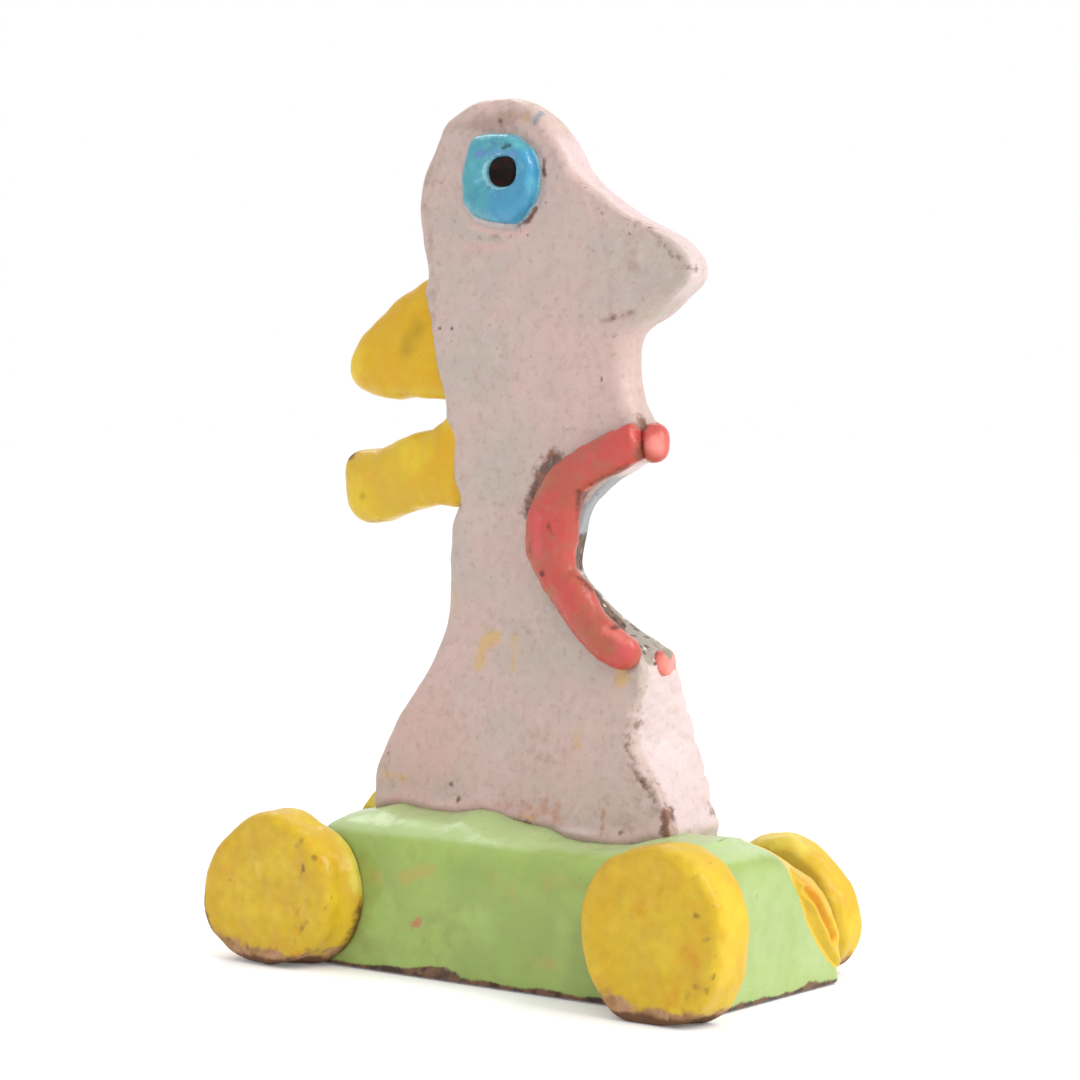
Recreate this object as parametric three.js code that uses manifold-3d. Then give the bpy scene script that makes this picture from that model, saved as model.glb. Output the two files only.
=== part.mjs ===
// Hand-built stoneware profile figure on a block with four wheels.
// Millimetres. +Z is up, the nose points to +X, the side first seen is -Y.
// Origin at the centre of the footprint, on the ground.
import * as THREE from 'three';
import { mergeVertices } from 'three/addons/utils/BufferGeometryUtils.js';
import Module from 'manifold-3d';

const wasm = await Module();
wasm.setup();

// Play left between two pieces that were luted together.
const SEAM = 0.3;
// Slivers smaller than this are cleared after a cut.
const SLIVER = 0.03;

// Upright slab: level courses from crown to foot.
// Each course: height, back edge, front edge, thickness, how far the near front corner is cut back.
const CROWN = 201;
const FOOT = 36.3;
const COURSES = [
  [CROWN, -12, -6.4, 2.2, 0],
  [200.5, -16, -3.2, 4.4, 0],
  [199, -19.5, 1.2, 6.8, 0],
  [196, -23.6, 5.4, 9, 0],
  [192, -25.7, 8.9, 10, 0],
  [188, -28.1, 12, 10, 0],
  [183.5, -30.6, 14.6, 10, 0],
  [178.6, -31.5, 21, 10, 0],
  [172.6, -31.2, 30.7, 10, 0],
  [167.6, -30.8, 41, 9.6, 0],
  [163.5, -29.6, 45.7, 9.2, 0],
  [160.2, -29.4, 47, 9, 0],
  [156.8, -30.2, 45.5, 9.2, 0],
  [151, -28.2, 38, 9.8, 0],
  [147.2, -27.9, 31, 10, 0],
  [143.5, -27.5, 28.6, 10, 0],
  [137, -26, 28.2, 10, 0],
  [131, -24.4, 29.9, 10, 0],
  [126.5, -24.2, 32.4, 10, 0],
  [122, -23, 33.6, 10, 0],
  [118.8, -22.2, 32, 10, -1],
  [116, -21.5, 26, 10, -3],
  [112.5, -20.5, 17.5, 10, -4],
  [108, -18.4, 13.9, 10, -4],
  [102, -20.9, 11.6, 10, -4],
  [95.5, -21.4, 9.9, 10.4, -4],
  [91.5, -21.2, 10.4, 11, -4],
  [87.5, -21.1, 14.6, 11.5, -3],
  [83, -21.2, 20.3, 12.2, -2],
  [79.2, -22, 27.5, 13, -1],
  [76, -23, 33.6, 14, 0],
  [70.5, -25.5, 37, 15, 1],
  [62, -31.3, 39.2, 17, 5],
  [55, -35.6, 41.2, 18.4, 7],
  [49, -38.4, 42.8, 19.6, 4],
  [44, -40.4, 44, 20.6, 0],
  [39, -40.4, 45.3, 22, -2],
  [FOOT, -39, 46, 22.6, -2.5],
];
const STEPS_PER_COURSE = 2;
const SLAB_CORNER = 3.4;
const FACE_STEPS = 4;
const CORNER_STEPS = 3;
// The near front corner is cut back between these distances from the front edge.
const CUT_FROM = 16;
const CUT_FULL = 1;

// Eyes: a clay ring on each face with a dark plug in its hole.
const EYE = { x: -4.1, z: 182.2, radius: 10.6, hole: 3.6, thick: 4, edge: 1.3, around: 28 };
const PUPIL = { x: 1.2, z: 1.3, depth: 2.8, around: 16 };

// Mouth: one flattened coil on each face, following the notch.
// The far one is set further back, and its two ends are brought round the front edge.
const LIP = { width: 11.8, depth: 6.2, along: 26, around: 10, roundEnd: 2.2, endShare: 0.1, reach: 0.2 };
const LIP_NEAR = [
  [33.8, -6.4, 121.6], [29.4, -6.4, 120.8], [24, -6.4, 118.9], [18.4, -6.4, 116.2],
  [13.4, -6.4, 112.4], [10.2, -6.4, 107.6], [9, -6.4, 102], [9, -6.5, 96.4],
  [10.6, -6.7, 91.2], [15.2, -7, 86.2], [21.2, -7.4, 81.8], [27.6, -7.9, 77.4], [34.8, -8.3, 73.4],
];
const LIP_FAR = [
  [33.6, -2, 122], [32, 4.6, 121.8], [24, 6.8, 120.4], [14.6, 6.6, 117],
  [7.4, 6.6, 112.6], [2.6, 6.6, 107], [0.4, 6.6, 101.6], [0.4, 6.8, 95.6],
  [2.2, 7, 89.6], [7, 7.3, 83.4], [13.4, 7.7, 78], [21, 8.2, 74.2], [29, 8, 72.4], [35, 3.2, 72],
];

// Locks of hair: a rounded wedge above, a coil stub below.
const WEDGE = {
  root: [-24, 147.4], tip: [-52.4, 138.6], rootHalf: 12.6, tipHalf: 12.8, thick: 10.4, roundTip: 26,
};
const STUB = {
  root: [-19.5, 115.4], tip: [-54.9, 110.6], rootHalf: 8.2, tipHalf: 8.2, thick: 11, roundTip: 5,
};
const LOCK_ALONG = 11;
const LOCK_AROUND = 16;
// Sections crowd towards the tip, and each is an oval with slightly flattened sides.
const LOCK_CROWD = 1.8;
const LOCK_FLATNESS = 0.8;

// Block: four plan corners, each with its radius at the foot and at the top.
const BLOCK = {
  corners: [
    { x: -48, y: -28.4, low: 5, high: 7 },
    { x: 67.4, y: -28.4, low: 5, high: 7 },
    { x: 67.8, y: 27, low: 3, high: 38 },
    { x: -60, y: 27.4, low: 5, high: 9 },
  ],
  height: 36,
  arcSteps: 6,
  sideSteps: 5,
  endInset: 7,
  leastRadius: 1.5,
  radiusLoss: 0.3,
};
// Height share and inset of each level of the block, foot to top.
const BLOCK_LEVELS = [
  [0, 1.6], [0.04, 0.3], [0.3, 0], [0.62, 0], [0.8, 0.6], [0.89, 2.4], [0.95, 6], [0.985, 11], [1, 15],
];

// Wheels: centre, half width, half height, inner and outer face, uneven outline.
const WHEELS = [
  { name: 'wheel_front_near', x: 60.6, z: 19.2, rx: 19.4, rz: 19.5, inner: -28.7, outer: -39.2, seed: 0.4 },
  { name: 'wheel_rear_near', x: -50.2, z: 18.3, rx: 19.6, rz: 18.3, inner: -28.7, outer: -38.8, seed: 2.1 },
  { name: 'wheel_front_far', x: 47.6, z: 15.8, rx: 17.6, rz: 16, inner: 27.7, outer: 39, seed: 3.3 },
  { name: 'wheel_rear_far', x: -61.2, z: 17.7, rx: 18.4, rz: 18, inner: 27.7, outer: 38.2, seed: 5.2 },
];
const WHEEL_AROUND = 30;
const WHEEL_EDGE = 3;
const WHEEL_CROWN = 0.2;
// Unevenness of the outline: number of lobes, depth as a share of the radius.
const LOBES = [[3, 0.014], [5, 0.01]];
// Clay smeared round the far front corner to hold that wheel.
const LUTING = { x: 51.5, y: 22, z: 16, rx: 13.4, ry: 11, rz: 13.6, around: 20, down: 14 };

const GLAZE = {
  pink: { color: 0xcdb4aa, roughness: 0.45 },
  blue: { color: 0x55aac8, roughness: 0.25 },
  black: { color: 0x190806, roughness: 0.3 },
  red: { color: 0xc85f50, roughness: 0.35 },
  yellow: { color: 0xdcb432, roughness: 0.3 },
  green: { color: 0xa3c878, roughness: 0.25 },
};

const object = new THREE.Group();
object.name = 'profile_figure_on_wheels';

function add(geometry, name, glaze) {
  geometry.computeVertexNormals();
  const material = new THREE.MeshStandardMaterial({ metalness: 0, ...GLAZE[glaze] });
  const mesh = new THREE.Mesh(geometry, material);
  mesh.name = name;
  object.add(mesh);
}

// Smooth curve through equally numbered rows; s counts rows.
function between(rows, s) {
  const i = Math.min(Math.floor(s), rows.length - 2);
  const f = s - i;
  const row = (k) => rows[Math.max(0, Math.min(rows.length - 1, k))];
  return rows[i].map((_, c) => {
    const [a, b, d, e] = [row(i - 1)[c], row(i)[c], row(i + 1)[c], row(i + 2)[c]];
    const slopeIn = (d - a) / 2;
    const slopeOut = (e - b) / 2;
    const f2 = f * f;
    const f3 = f2 * f;
    return b * (2 * f3 - 3 * f2 + 1) + slopeIn * (f3 - 2 * f2 + f)
      + d * (3 * f2 - 2 * f3) + slopeOut * (f3 - f2);
  });
}

// Skin over equal rings of points, closed by a fan at both ends.
function skin(rings) {
  const n = rings[0].length;
  const points = rings.flat();
  const faces = [];
  for (let j = 0; j + 1 < rings.length; j += 1) {
    for (let i = 0; i < n; i += 1) {
      const a = j * n + i;
      const b = j * n + ((i + 1) % n);
      faces.push(a, b, b + n, a, b + n, a + n);
    }
  }
  const middle = (ring) => ring.reduce((sum, p) => sum.map((v, c) => v + p[c] / n), [0, 0, 0]);
  const first = points.push(middle(rings[0])) - 1;
  const last = points.push(middle(rings[rings.length - 1])) - 1;
  const top = (rings.length - 1) * n;
  for (let i = 0; i < n; i += 1) {
    const k = (i + 1) % n;
    faces.push(first, k, i, last, top + i, top + k);
  }
  const geometry = new THREE.BufferGeometry();
  geometry.setAttribute('position', new THREE.Float32BufferAttribute(points.flat(), 3));
  geometry.setIndex(faces);
  return geometry;
}

function toSolid(geometry) {
  const plain = geometry.clone();
  plain.deleteAttribute('normal');
  plain.deleteAttribute('uv');
  const merged = mergeVertices(plain, 1e-4);
  return new wasm.Manifold(new wasm.Mesh({
    numProp: 3,
    vertProperties: new Float32Array(merged.attributes.position.array),
    triVerts: new Uint32Array(merged.index.array),
  }));
}

function toGeometry(solid) {
  const mesh = solid.simplify(SLIVER).getMesh();
  const geometry = new THREE.BufferGeometry();
  geometry.setAttribute('position', new THREE.Float32BufferAttribute(mesh.vertProperties, 3));
  geometry.setIndex(Array.from(mesh.triVerts));
  return geometry;
}

// One level ring of the slab: a rounded bar in plan, its near front corner cut back.
function slabRing([z, back, front, thick, cut], grow) {
  const halfY = thick / 2 + grow;
  const x0 = back - grow;
  const x1 = front + grow;
  const r = Math.min(SLAB_CORNER + grow, halfY * 0.96, (x1 - x0) * 0.48);
  const ring = [];
  const corner = (cx, cy, from) => {
    for (let k = 0; k <= CORNER_STEPS; k += 1) {
      const a = from + (Math.PI / 2) * (k / CORNER_STEPS);
      ring.push([cx + r * Math.cos(a), cy + r * Math.sin(a), z]);
    }
  };
  const face = (from, to, y) => {
    for (let k = 1; k < FACE_STEPS; k += 1) ring.push([from + (to - from) * (k / FACE_STEPS), y, z]);
  };
  corner(x0 + r, -halfY + r, Math.PI);
  face(x0 + r, x1 - r, -halfY);
  corner(x1 - r, -halfY + r, -Math.PI / 2);
  corner(x1 - r, halfY - r, 0);
  face(x1 - r, x0 + r, halfY);
  corner(x0 + r, halfY - r, Math.PI / 2);
  return ring.map(([x, y]) => {
    const along = THREE.MathUtils.smoothstep(x, x1 - CUT_FROM, x1 - CUT_FULL);
    return [x - cut * along * (0.5 - y / (2 * halfY)), y, z];
  });
}

function slab(grow) {
  const rings = [];
  const last = COURSES.length - 1;
  for (let s = last * STEPS_PER_COURSE; s >= 0; s -= 1) {
    rings.push(slabRing(between(COURSES, s / STEPS_PER_COURSE), grow));
  }
  rings[0] = rings[0].map(([x, y, z]) => [x, y, z - grow]);
  return skin(rings);
}

// Flattened coil along a path, both ends rounded off.
function coil(path) {
  const { width, depth, along, around, roundEnd, endShare, reach } = LIP;
  const last = path.length - 1;
  const sideways = new THREE.Vector3(0, 1, 0);
  const rings = [];
  for (let j = 0; j <= along; j += 1) {
    const s = (j / along) * last;
    const centre = new THREE.Vector3(...between(path, s));
    const before = new THREE.Vector3(...between(path, Math.max(0, s - reach)));
    const after = new THREE.Vector3(...between(path, Math.min(last, s + reach)));
    const forward = after.sub(before).normalize();
    const across = forward.clone().cross(sideways).normalize();
    const outward = forward.clone().cross(across).normalize();
    const fromEnd = Math.min(1, Math.min(j, along - j) / roundEnd + endShare);
    const swell = Math.sqrt(1 - (1 - fromEnd) ** 2);
    const ring = [];
    for (let k = 0; k < around; k += 1) {
      const a = (k / around) * 2 * Math.PI;
      const p = centre.clone()
        .addScaledVector(across, Math.cos(a) * (width / 2) * swell)
        .addScaledVector(outward, Math.sin(a) * (depth / 2) * swell);
      ring.push(p.toArray());
    }
    rings.push(ring);
  }
  return skin(rings);
}

// Course number at a height, by bisection down the slab.
function courseAt(z) {
  let low = 0;
  let high = COURSES.length - 1;
  for (let k = 0; k < 24; k += 1) {
    const mid = (low + high) / 2;
    if (between(COURSES, mid)[0] > z) low = mid;
    else high = mid;
  }
  return low;
}

// Disc turned about an axis along Y, with an uneven outline that never dips below the ground.
function pressedDisc({ x, z, rx, rz, inner, outer, seed }, profile) {
  const out = Math.sign(outer - inner);
  const rings = profile.map(([share, y]) => {
    const ring = [];
    for (let k = 0; k < WHEEL_AROUND; k += 1) {
      const a = -out * (k / WHEEL_AROUND) * 2 * Math.PI;
      const uneven = LOBES
        .reduce((sum, [lobes, deep], i) => sum + deep * (1 + Math.cos(lobes * a + (i + 1) * seed)), 0);
      ring.push([
        x + rx * share * (1 - uneven) * Math.cos(a),
        y,
        Math.max(0, z + rz * share * (1 - uneven) * Math.sin(a)),
      ]);
    }
    return ring;
  });
  return skin(rings);
}

// Profile from the inner face over the rim to the outer face: share of the radius, y.
function wheel(spec) {
  const out = Math.sign(spec.outer - spec.inner);
  const e = WHEEL_EDGE;
  const r = Math.min(spec.rx, spec.rz);
  const profile = [
    [0.5, spec.inner],
    [1 - (0.6 * e) / r, spec.inner],
    [1 - (0.15 * e) / r, spec.inner + out * e * 0.4],
    [1, spec.inner + out * e],
    [1, spec.outer - out * e],
    [1 - (0.3 * e) / r, spec.outer - out * e * 0.3],
    [1 - e / r, spec.outer],
    [0.5, spec.outer + out * WHEEL_CROWN],
  ];
  return pressedDisc(spec, profile);
}

// Clay ring of one eye, closed on itself round its hole.
function eyeRing(side) {
  const face = between(COURSES, courseAt(EYE.z))[3] / 2 + SEAM;
  const e = EYE.edge;
  const section = [
    [EYE.radius, face, 0], [EYE.radius, face + EYE.thick - e, 0], [EYE.radius - e, face + EYE.thick, 0],
    [EYE.hole + e * 0.6, face + EYE.thick, 1], [EYE.hole, face + EYE.thick - e * 0.6, 1], [EYE.hole, face, 1],
  ];
  const points = [];
  const faces = [];
  const n = section.length;
  for (let j = 0; j < EYE.around; j += 1) {
    const a = side * (j / EYE.around) * 2 * Math.PI;
    for (const [r, y, shift] of section) {
      points.push(
        EYE.x + shift * PUPIL.x + r * Math.cos(a),
        side * y,
        EYE.z + shift * PUPIL.z + r * Math.sin(a),
      );
    }
    const k = (j + 1) % EYE.around;
    for (let i = 0; i < n; i += 1) {
      const m = (i + 1) % n;
      faces.push(j * n + i, j * n + m, k * n + m, j * n + i, k * n + m, k * n + i);
    }
  }
  const geometry = new THREE.BufferGeometry();
  geometry.setAttribute('position', new THREE.Float32BufferAttribute(points, 3));
  geometry.setIndex(faces);
  return geometry;
}

function pupil(side) {
  const face = between(COURSES, courseAt(EYE.z))[3] / 2 + SEAM;
  const geometry = new THREE.CylinderGeometry(EYE.hole - SEAM, EYE.hole - SEAM, PUPIL.depth, PUPIL.around);
  return geometry.translate(EYE.x + PUPIL.x, side * (face + PUPIL.depth / 2), EYE.z + PUPIL.z);
}

// Lock of hair: oval sections from a broad root to a rounded tip.
function lock({ root, tip, rootHalf, tipHalf, thick, roundTip }) {
  const length = Math.hypot(tip[0] - root[0], tip[1] - root[1]);
  const ux = (tip[0] - root[0]) / length;
  const uz = (tip[1] - root[1]) / length;
  const rings = [];
  for (let j = 0; j <= LOCK_ALONG; j += 1) {
    const left = (1 - j / LOCK_ALONG) ** LOCK_CROWD;
    const rounding = Math.max(0, 1 - (left * length) / roundTip);
    const close = Math.sqrt(Math.max(0.002, 1 - rounding ** 2));
    const half = (tipHalf + (rootHalf - tipHalf) * left) * close;
    const deep = (thick / 2) * Math.sqrt(close);
    const ring = [];
    for (let k = 0; k < LOCK_AROUND; k += 1) {
      const a = -(k / LOCK_AROUND) * 2 * Math.PI;
      const c = Math.sign(Math.cos(a)) * Math.abs(Math.cos(a)) ** LOCK_FLATNESS;
      const s = Math.sign(Math.sin(a)) * Math.abs(Math.sin(a)) ** LOCK_FLATNESS;
      ring.push([
        root[0] + ux * length * (1 - left) - uz * half * c,
        deep * s,
        root[1] + uz * length * (1 - left) + ux * half * c,
      ]);
    }
    rings.push(ring);
  }
  return skin(rings);
}

// Level ring of the block: a four-sided plan with one radius per corner.
function blockRing(share, inset, grow) {
  const { corners, arcSteps, sideSteps, endInset, leastRadius, radiusLoss } = BLOCK;
  const n = corners.length;
  const ring = [];
  const placed = corners.map(({ x, y, low, high }) => ({
    x: x - Math.sign(x) * (Math.min(inset, endInset) - grow),
    y: y - Math.sign(y) * (inset - grow),
    r: Math.max(leastRadius, low + (high - low) * share ** 2 - inset * radiusLoss + grow),
  }));
  const arcs = placed.map((p, i) => {
    const before = placed[(i + n - 1) % n];
    const after = placed[(i + 1) % n];
    const u = new THREE.Vector2(before.x - p.x, before.y - p.y).normalize();
    const v = new THREE.Vector2(after.x - p.x, after.y - p.y).normalize();
    const half = Math.acos(u.dot(v)) / 2;
    const toCentre = u.clone().add(v).normalize().multiplyScalar(p.r / Math.sin(half));
    const centre = new THREE.Vector2(p.x, p.y).add(toCentre);
    const from = Math.atan2(-u.x, u.y) + Math.PI;
    const sweep = Math.PI - 2 * half;
    return Array.from({ length: arcSteps + 1 }, (_, k) => {
      const a = from + sweep * (k / arcSteps);
      return [centre.x + p.r * Math.cos(a), centre.y + p.r * Math.sin(a)];
    });
  });
  arcs.forEach((arc, i) => {
    ring.push(...arc);
    const [x0, y0] = arc[arcSteps];
    const [x1, y1] = arcs[(i + 1) % n][0];
    for (let k = 1; k < sideSteps; k += 1) {
      const f = k / sideSteps;
      ring.push([x0 + (x1 - x0) * f, y0 + (y1 - y0) * f]);
    }
  });
  return ring.map(([x, y]) => [x, y, share * BLOCK.height]);
}

function block(grow) {
  return skin(BLOCK_LEVELS.map(([share, inset]) => blockRing(share, inset, grow)));
}

const slabCutter = toSolid(slab(SEAM));
const blockCutter = toSolid(block(SEAM));

add(slab(0), 'head_slab', 'pink');
for (const [side, word, path] of [[-1, 'near', LIP_NEAR], [1, 'far', LIP_FAR]]) {
  add(eyeRing(side), `eye_ring_${word}`, 'blue');
  add(pupil(side), `pupil_${word}`, 'black');
  add(toGeometry(toSolid(coil(path)).subtract(slabCutter)), `lip_${word}`, 'red');
}
add(toGeometry(toSolid(lock(WEDGE)).subtract(slabCutter)), 'hair_upper', 'yellow');
add(toGeometry(toSolid(lock(STUB)).subtract(slabCutter)), 'hair_lower', 'yellow');
add(block(0), 'base_block', 'green');

for (const spec of WHEELS) {
  if (spec.name === 'wheel_front_far') {
    const lump = new THREE.SphereGeometry(1, LUTING.around, LUTING.down);
    lump.scale(LUTING.rx, LUTING.ry, LUTING.rz).translate(LUTING.x, LUTING.y, LUTING.z);
    const joined = toSolid(wheel(spec)).add(toSolid(lump));
    add(toGeometry(joined.subtract(blockCutter)), spec.name, 'yellow');
  } else {
    add(wheel(spec), spec.name, 'yellow');
  }
}

export default object;
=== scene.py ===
import math

import bpy
import numpy as np
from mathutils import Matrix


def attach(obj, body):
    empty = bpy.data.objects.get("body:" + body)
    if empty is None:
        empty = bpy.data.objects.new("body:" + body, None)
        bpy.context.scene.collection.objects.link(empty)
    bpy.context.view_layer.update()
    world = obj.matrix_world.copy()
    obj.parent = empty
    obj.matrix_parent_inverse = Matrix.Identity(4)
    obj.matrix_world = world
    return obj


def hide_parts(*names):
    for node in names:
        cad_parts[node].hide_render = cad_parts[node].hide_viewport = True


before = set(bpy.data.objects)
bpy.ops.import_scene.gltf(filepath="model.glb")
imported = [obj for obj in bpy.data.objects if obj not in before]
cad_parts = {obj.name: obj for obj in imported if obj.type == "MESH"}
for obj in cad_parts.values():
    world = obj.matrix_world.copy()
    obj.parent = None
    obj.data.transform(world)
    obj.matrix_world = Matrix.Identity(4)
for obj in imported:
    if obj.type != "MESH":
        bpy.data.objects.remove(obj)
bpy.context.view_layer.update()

# Head slab: one thick sheet of stoneware cut to a profile, broad and deep at the foot.
# Its rims are rubbed round with a wet finger, the chest is cut with a wire.
# It wears a pinkish white satin glaze with iron specks, stained where other glazes crept.

# Height, back rim, front rim, thickness, how far the near front corner is cut back (mm).
SLAB_COURSES = [
    [201, -12, -6.4, 2.2, 0], [200.5, -16, -3.2, 4.4, 0], [199, -19.5, 1.2, 6.8, 0],
    [196, -23.6, 5.4, 9, 0], [192, -25.7, 8.9, 10, 0], [188, -28.2, 12, 10, 0],
    [183.5, -30.9, 14.6, 10, 0], [178.6, -31.9, 20.4, 10, 0], [172.6, -31.5, 30, 10, 0],
    [167.6, -30.8, 40.6, 9.6, 0], [163.5, -29.6, 45.7, 9.2, 0], [160.2, -29.6, 47, 9, 0],
    [156.8, -30.4, 45.5, 9.2, 0], [151, -28.4, 38, 9.8, 0], [147.2, -28, 31, 10, 0],
    [143.5, -27.5, 28.8, 10, 0], [137, -26, 28.6, 10, 0], [131, -24.4, 30.1, 10, 0],
    [126.5, -24.2, 32.4, 10, 0], [122, -23, 33.6, 10, 0], [118.8, -22.2, 32, 10, -1],
    [116, -21.8, 26.8, 10, -2.6], [112.5, -21, 20.6, 10, -3], [108, -19, 15.2, 10, -4],
    [102, -21.5, 12.2, 10, -4], [95.5, -22, 10.5, 10.4, -4], [91.5, -21.8, 11.2, 11, -4],
    [87.5, -21.7, 15, 11.5, -3], [83, -21.9, 20.2, 12.2, -2], [79.2, -22.4, 26, 13, 0],
    [76, -23.4, 33.4, 14, 0], [70.5, -26, 37.2, 15, 1], [62, -31.5, 39.2, 17, 5],
    [55, -35.6, 41.2, 18.4, 7], [49, -38.4, 42.6, 19.6, 4], [44, -40.4, 43.4, 20.6, 0],
    [39, -40.4, 44, 22, -2], [36, -40, 44.6, 22.6, -2.5], [30, -39, 45, 23, -2.5],
]
# Level rings of the slab, and samples of its outline that space them evenly.
SLAB_LEVELS, OUTLINE_SAMPLES = 330, 5000
# Steps of a level ring across the near face, the far face and each rim, and round each corner.
NEAR_STEPS, FAR_STEPS, RIM_STEPS, CORNER_STEPS = 112, 54, 20, 8


def run_through(rows, s):
    """Smooth curve through the rows at s = 0, 1, 2 and so on: between two rows it is the cubic whose
    slope at each row is half the step from the row before to the row after."""
    rows = np.asarray(rows, float)
    last = len(rows) - 1
    i = np.clip(np.floor(s).astype(int), 0, last - 1)
    f = (s - i)[:, None]
    a, b, c, d = (rows[np.clip(i + k, 0, last)] for k in (-1, 0, 1, 2))
    return (
        b * (2 * f**3 - 3 * f**2 + 1) + (c - a) / 2 * (f**3 - 2 * f**2 + f)
        + c * (3 * f**2 - 2 * f**3) + (d - b) / 2 * (f**3 - f**2)
    )


def spaced(rows, count):
    """The smooth curve through the rows at count even steps of s, as one array for each column."""
    return run_through(rows, np.linspace(0, len(rows) - 1, count)).T


def full_turn(count):
    """Angles once round in count steps."""
    return np.linspace(0, 2 * np.pi, count, endpoint=False)


def unit(v):
    """Each vector divided by its length, a zero vector left as it is."""
    return v / (np.linalg.norm(v, axis=-1, keepdims=True) + 1e-9)


def ease(low, high, x):
    """0 below low, 1 above high, and 3t^2 - 2t^3 between."""
    t = np.clip((x - low) / (high - low), 0, 1)
    return t * t * (3 - 2 * t)


def bell(u):
    """exp(-u^2): 1 at 0 and nearly nothing past 2."""
    return np.exp(-np.square(u))


def kneaded(p, size, seed, waves=22):
    """Uneven field of spread about one half: the sum of cosine waves that cross the clay in scattered
    directions, each about size mm long, divided by the square root of twice their number."""
    rng = np.random.default_rng(seed)
    way = rng.normal(size=(waves, 3))
    way *= (2 * np.pi / size * rng.uniform(0.6, 1.3, waves) / np.linalg.norm(way, axis=1))[:, None]
    return np.cos(p @ way.T + rng.uniform(0, 2 * np.pi, waves)).sum(-1) / math.sqrt(2 * waves)


def off_line(p, line):
    """Distance of each point, seen from the side, to the nearest of the straight runs of line (x, z)."""
    q = p[..., [0, 2]]
    nearest = np.full(p.shape[:-1], 1e9)
    for a, b in zip(np.array(line[:-1], float), np.array(line[1:], float)):
        t = np.clip(((q - a) @ (b - a)) / ((b - a) @ (b - a)), 0, 1)[..., None]
        nearest = np.minimum(nearest, np.linalg.norm(q - a - t * (b - a), axis=-1))
    return nearest


def dab(p, x, z, wide, high):
    """Bell-shaped spot at (x, z), seen from the side."""
    return bell(np.hypot((p[..., 0] - x) / wide, (p[..., 2] - z) / high))


def stroke(p, wide, line):
    """Bell-shaped stroke along the line, seen from the side."""
    return bell(off_line(p, line) / wide)


def painted(p, *touches):
    """Sum of dabs and strokes. A dab is its strength, x, z, half width and half height, a stroke is
    its strength, half width and line."""
    return sum(share * (dab if len(how) == 4 else stroke)(p, *how) for share, *how in touches)


def slab_rings():
    """Level rings of the slab from foot to crown, evenly spaced along its outline. A ring is a bar
    with rounded corners: x = back + r or front - r plus r cos(turn), y = near or far face likewise
    with r sin(turn). The near front corner is then drawn back by its course's cut. Gives the
    points, which way is out at each, and where the wire-cut chest is."""
    fine = np.linspace(len(SLAB_COURSES) - 1, 0, OUTLINE_SAMPLES)
    step = np.abs(np.diff(run_through(SLAB_COURSES, fine)[:, :3], axis=0)).max(1)
    length = np.concatenate([[0], np.cumsum(step)])
    s = np.interp(np.linspace(0, length[-1], SLAB_LEVELS), length, fine)
    z, back, front, thick, cut = run_through(SLAB_COURSES, s).T[:, :, None]
    half = thick / 2
    most = np.minimum(half * 0.94, (front - back) * 0.46)
    chest = ease(77, 73, z) * ease(36, 39, z)
    nose = ease(150, 154, z) * ease(184, 176, z)
    notch = ease(120, 116, z) * ease(76, 80, z)
    r_back = np.minimum(3.2 - 1.2 * ease(62, 44, z), most)
    r_near = np.minimum(3.2 - 1.9 * chest - 1.3 * nose, most)
    r_far = np.minimum(3.4 - 1.9 * notch, most)

    turn = np.linspace(0, np.pi / 2, CORNER_STEPS + 1)
    near, far, rim = (np.linspace(0, 1, steps + 1)[1:-1] for steps in (NEAR_STEPS, FAR_STEPS, RIM_STEPS))
    plan = [
        (0, 0, np.pi + turn), (near, 0, 1.5 * np.pi), (1, 0, 1.5 * np.pi + turn), (1, rim, 0),
        (1, 1, turn), (1 - far, 1, np.pi / 2), (0, 1, np.pi / 2 + turn), (0, 1 - rim, np.pi),
    ]
    fx, fy, angle = np.concatenate([np.broadcast_arrays(*part) for part in plan], axis=1)[:, None, :]
    r = (1 - fx) * r_back + fx * ((1 - fy) * r_near + fy * r_far)
    x = back * (1 - fx) + front * fx + r * (1 - 2 * fx) + r * np.cos(angle)
    y = (2 * fy - 1) * (half - r) + r * np.sin(angle)
    x = x - cut * ease(front - 16, front - 1, x) * (0.5 - y / (2 * half))
    rings = np.stack([x, y, z + 0 * x], -1)
    out = np.stack([np.cos(angle), np.sin(angle), 0 * angle], -1) + np.zeros_like(rings)
    return rings, out, chest + 0 * x


# Seen from the side (x, z): the joint of the pressed-on nose, the crease under it, the edge of the
# wire cut, the slab's foot on the block, and the gap behind the near lip.
NOSE_SEAM = [(19.8, 178), (21.8, 172.9), (23.9, 167.3), (24.6, 160), (25.4, 154), (25.6, 149.8)]
NOSE_CREASE = [(23, 149.2), (25.5, 149.7), (31.2, 151.1)]
CHEST_EDGE = [
    (38.1, 69.8), (38.1, 65.2), (35, 61.3), (33.4, 56.8), (33.8, 53.8), (35.7, 49.9), (37.3, 47.4),
    (39.5, 46.5), (40.9, 44), (44.1, 40.6), (45.4, 39.2), (45.9, 36),
]
FOOT_LINE = [
    (-38, 36.4), (-30, 38), (-20, 37), (-12.8, 37.2), (-6, 38.5), (-2, 38.2), (3, 36.8), (13.6, 35.8),
    (18, 34.3), (30, 33.6), (36, 34.2), (46, 37),
]
LIP_CREVICE = [(9.8, 118.6), (7.4, 115.9), (5.4, 113.2), (3.4, 109.1), (2.4, 106.4)]
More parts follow.
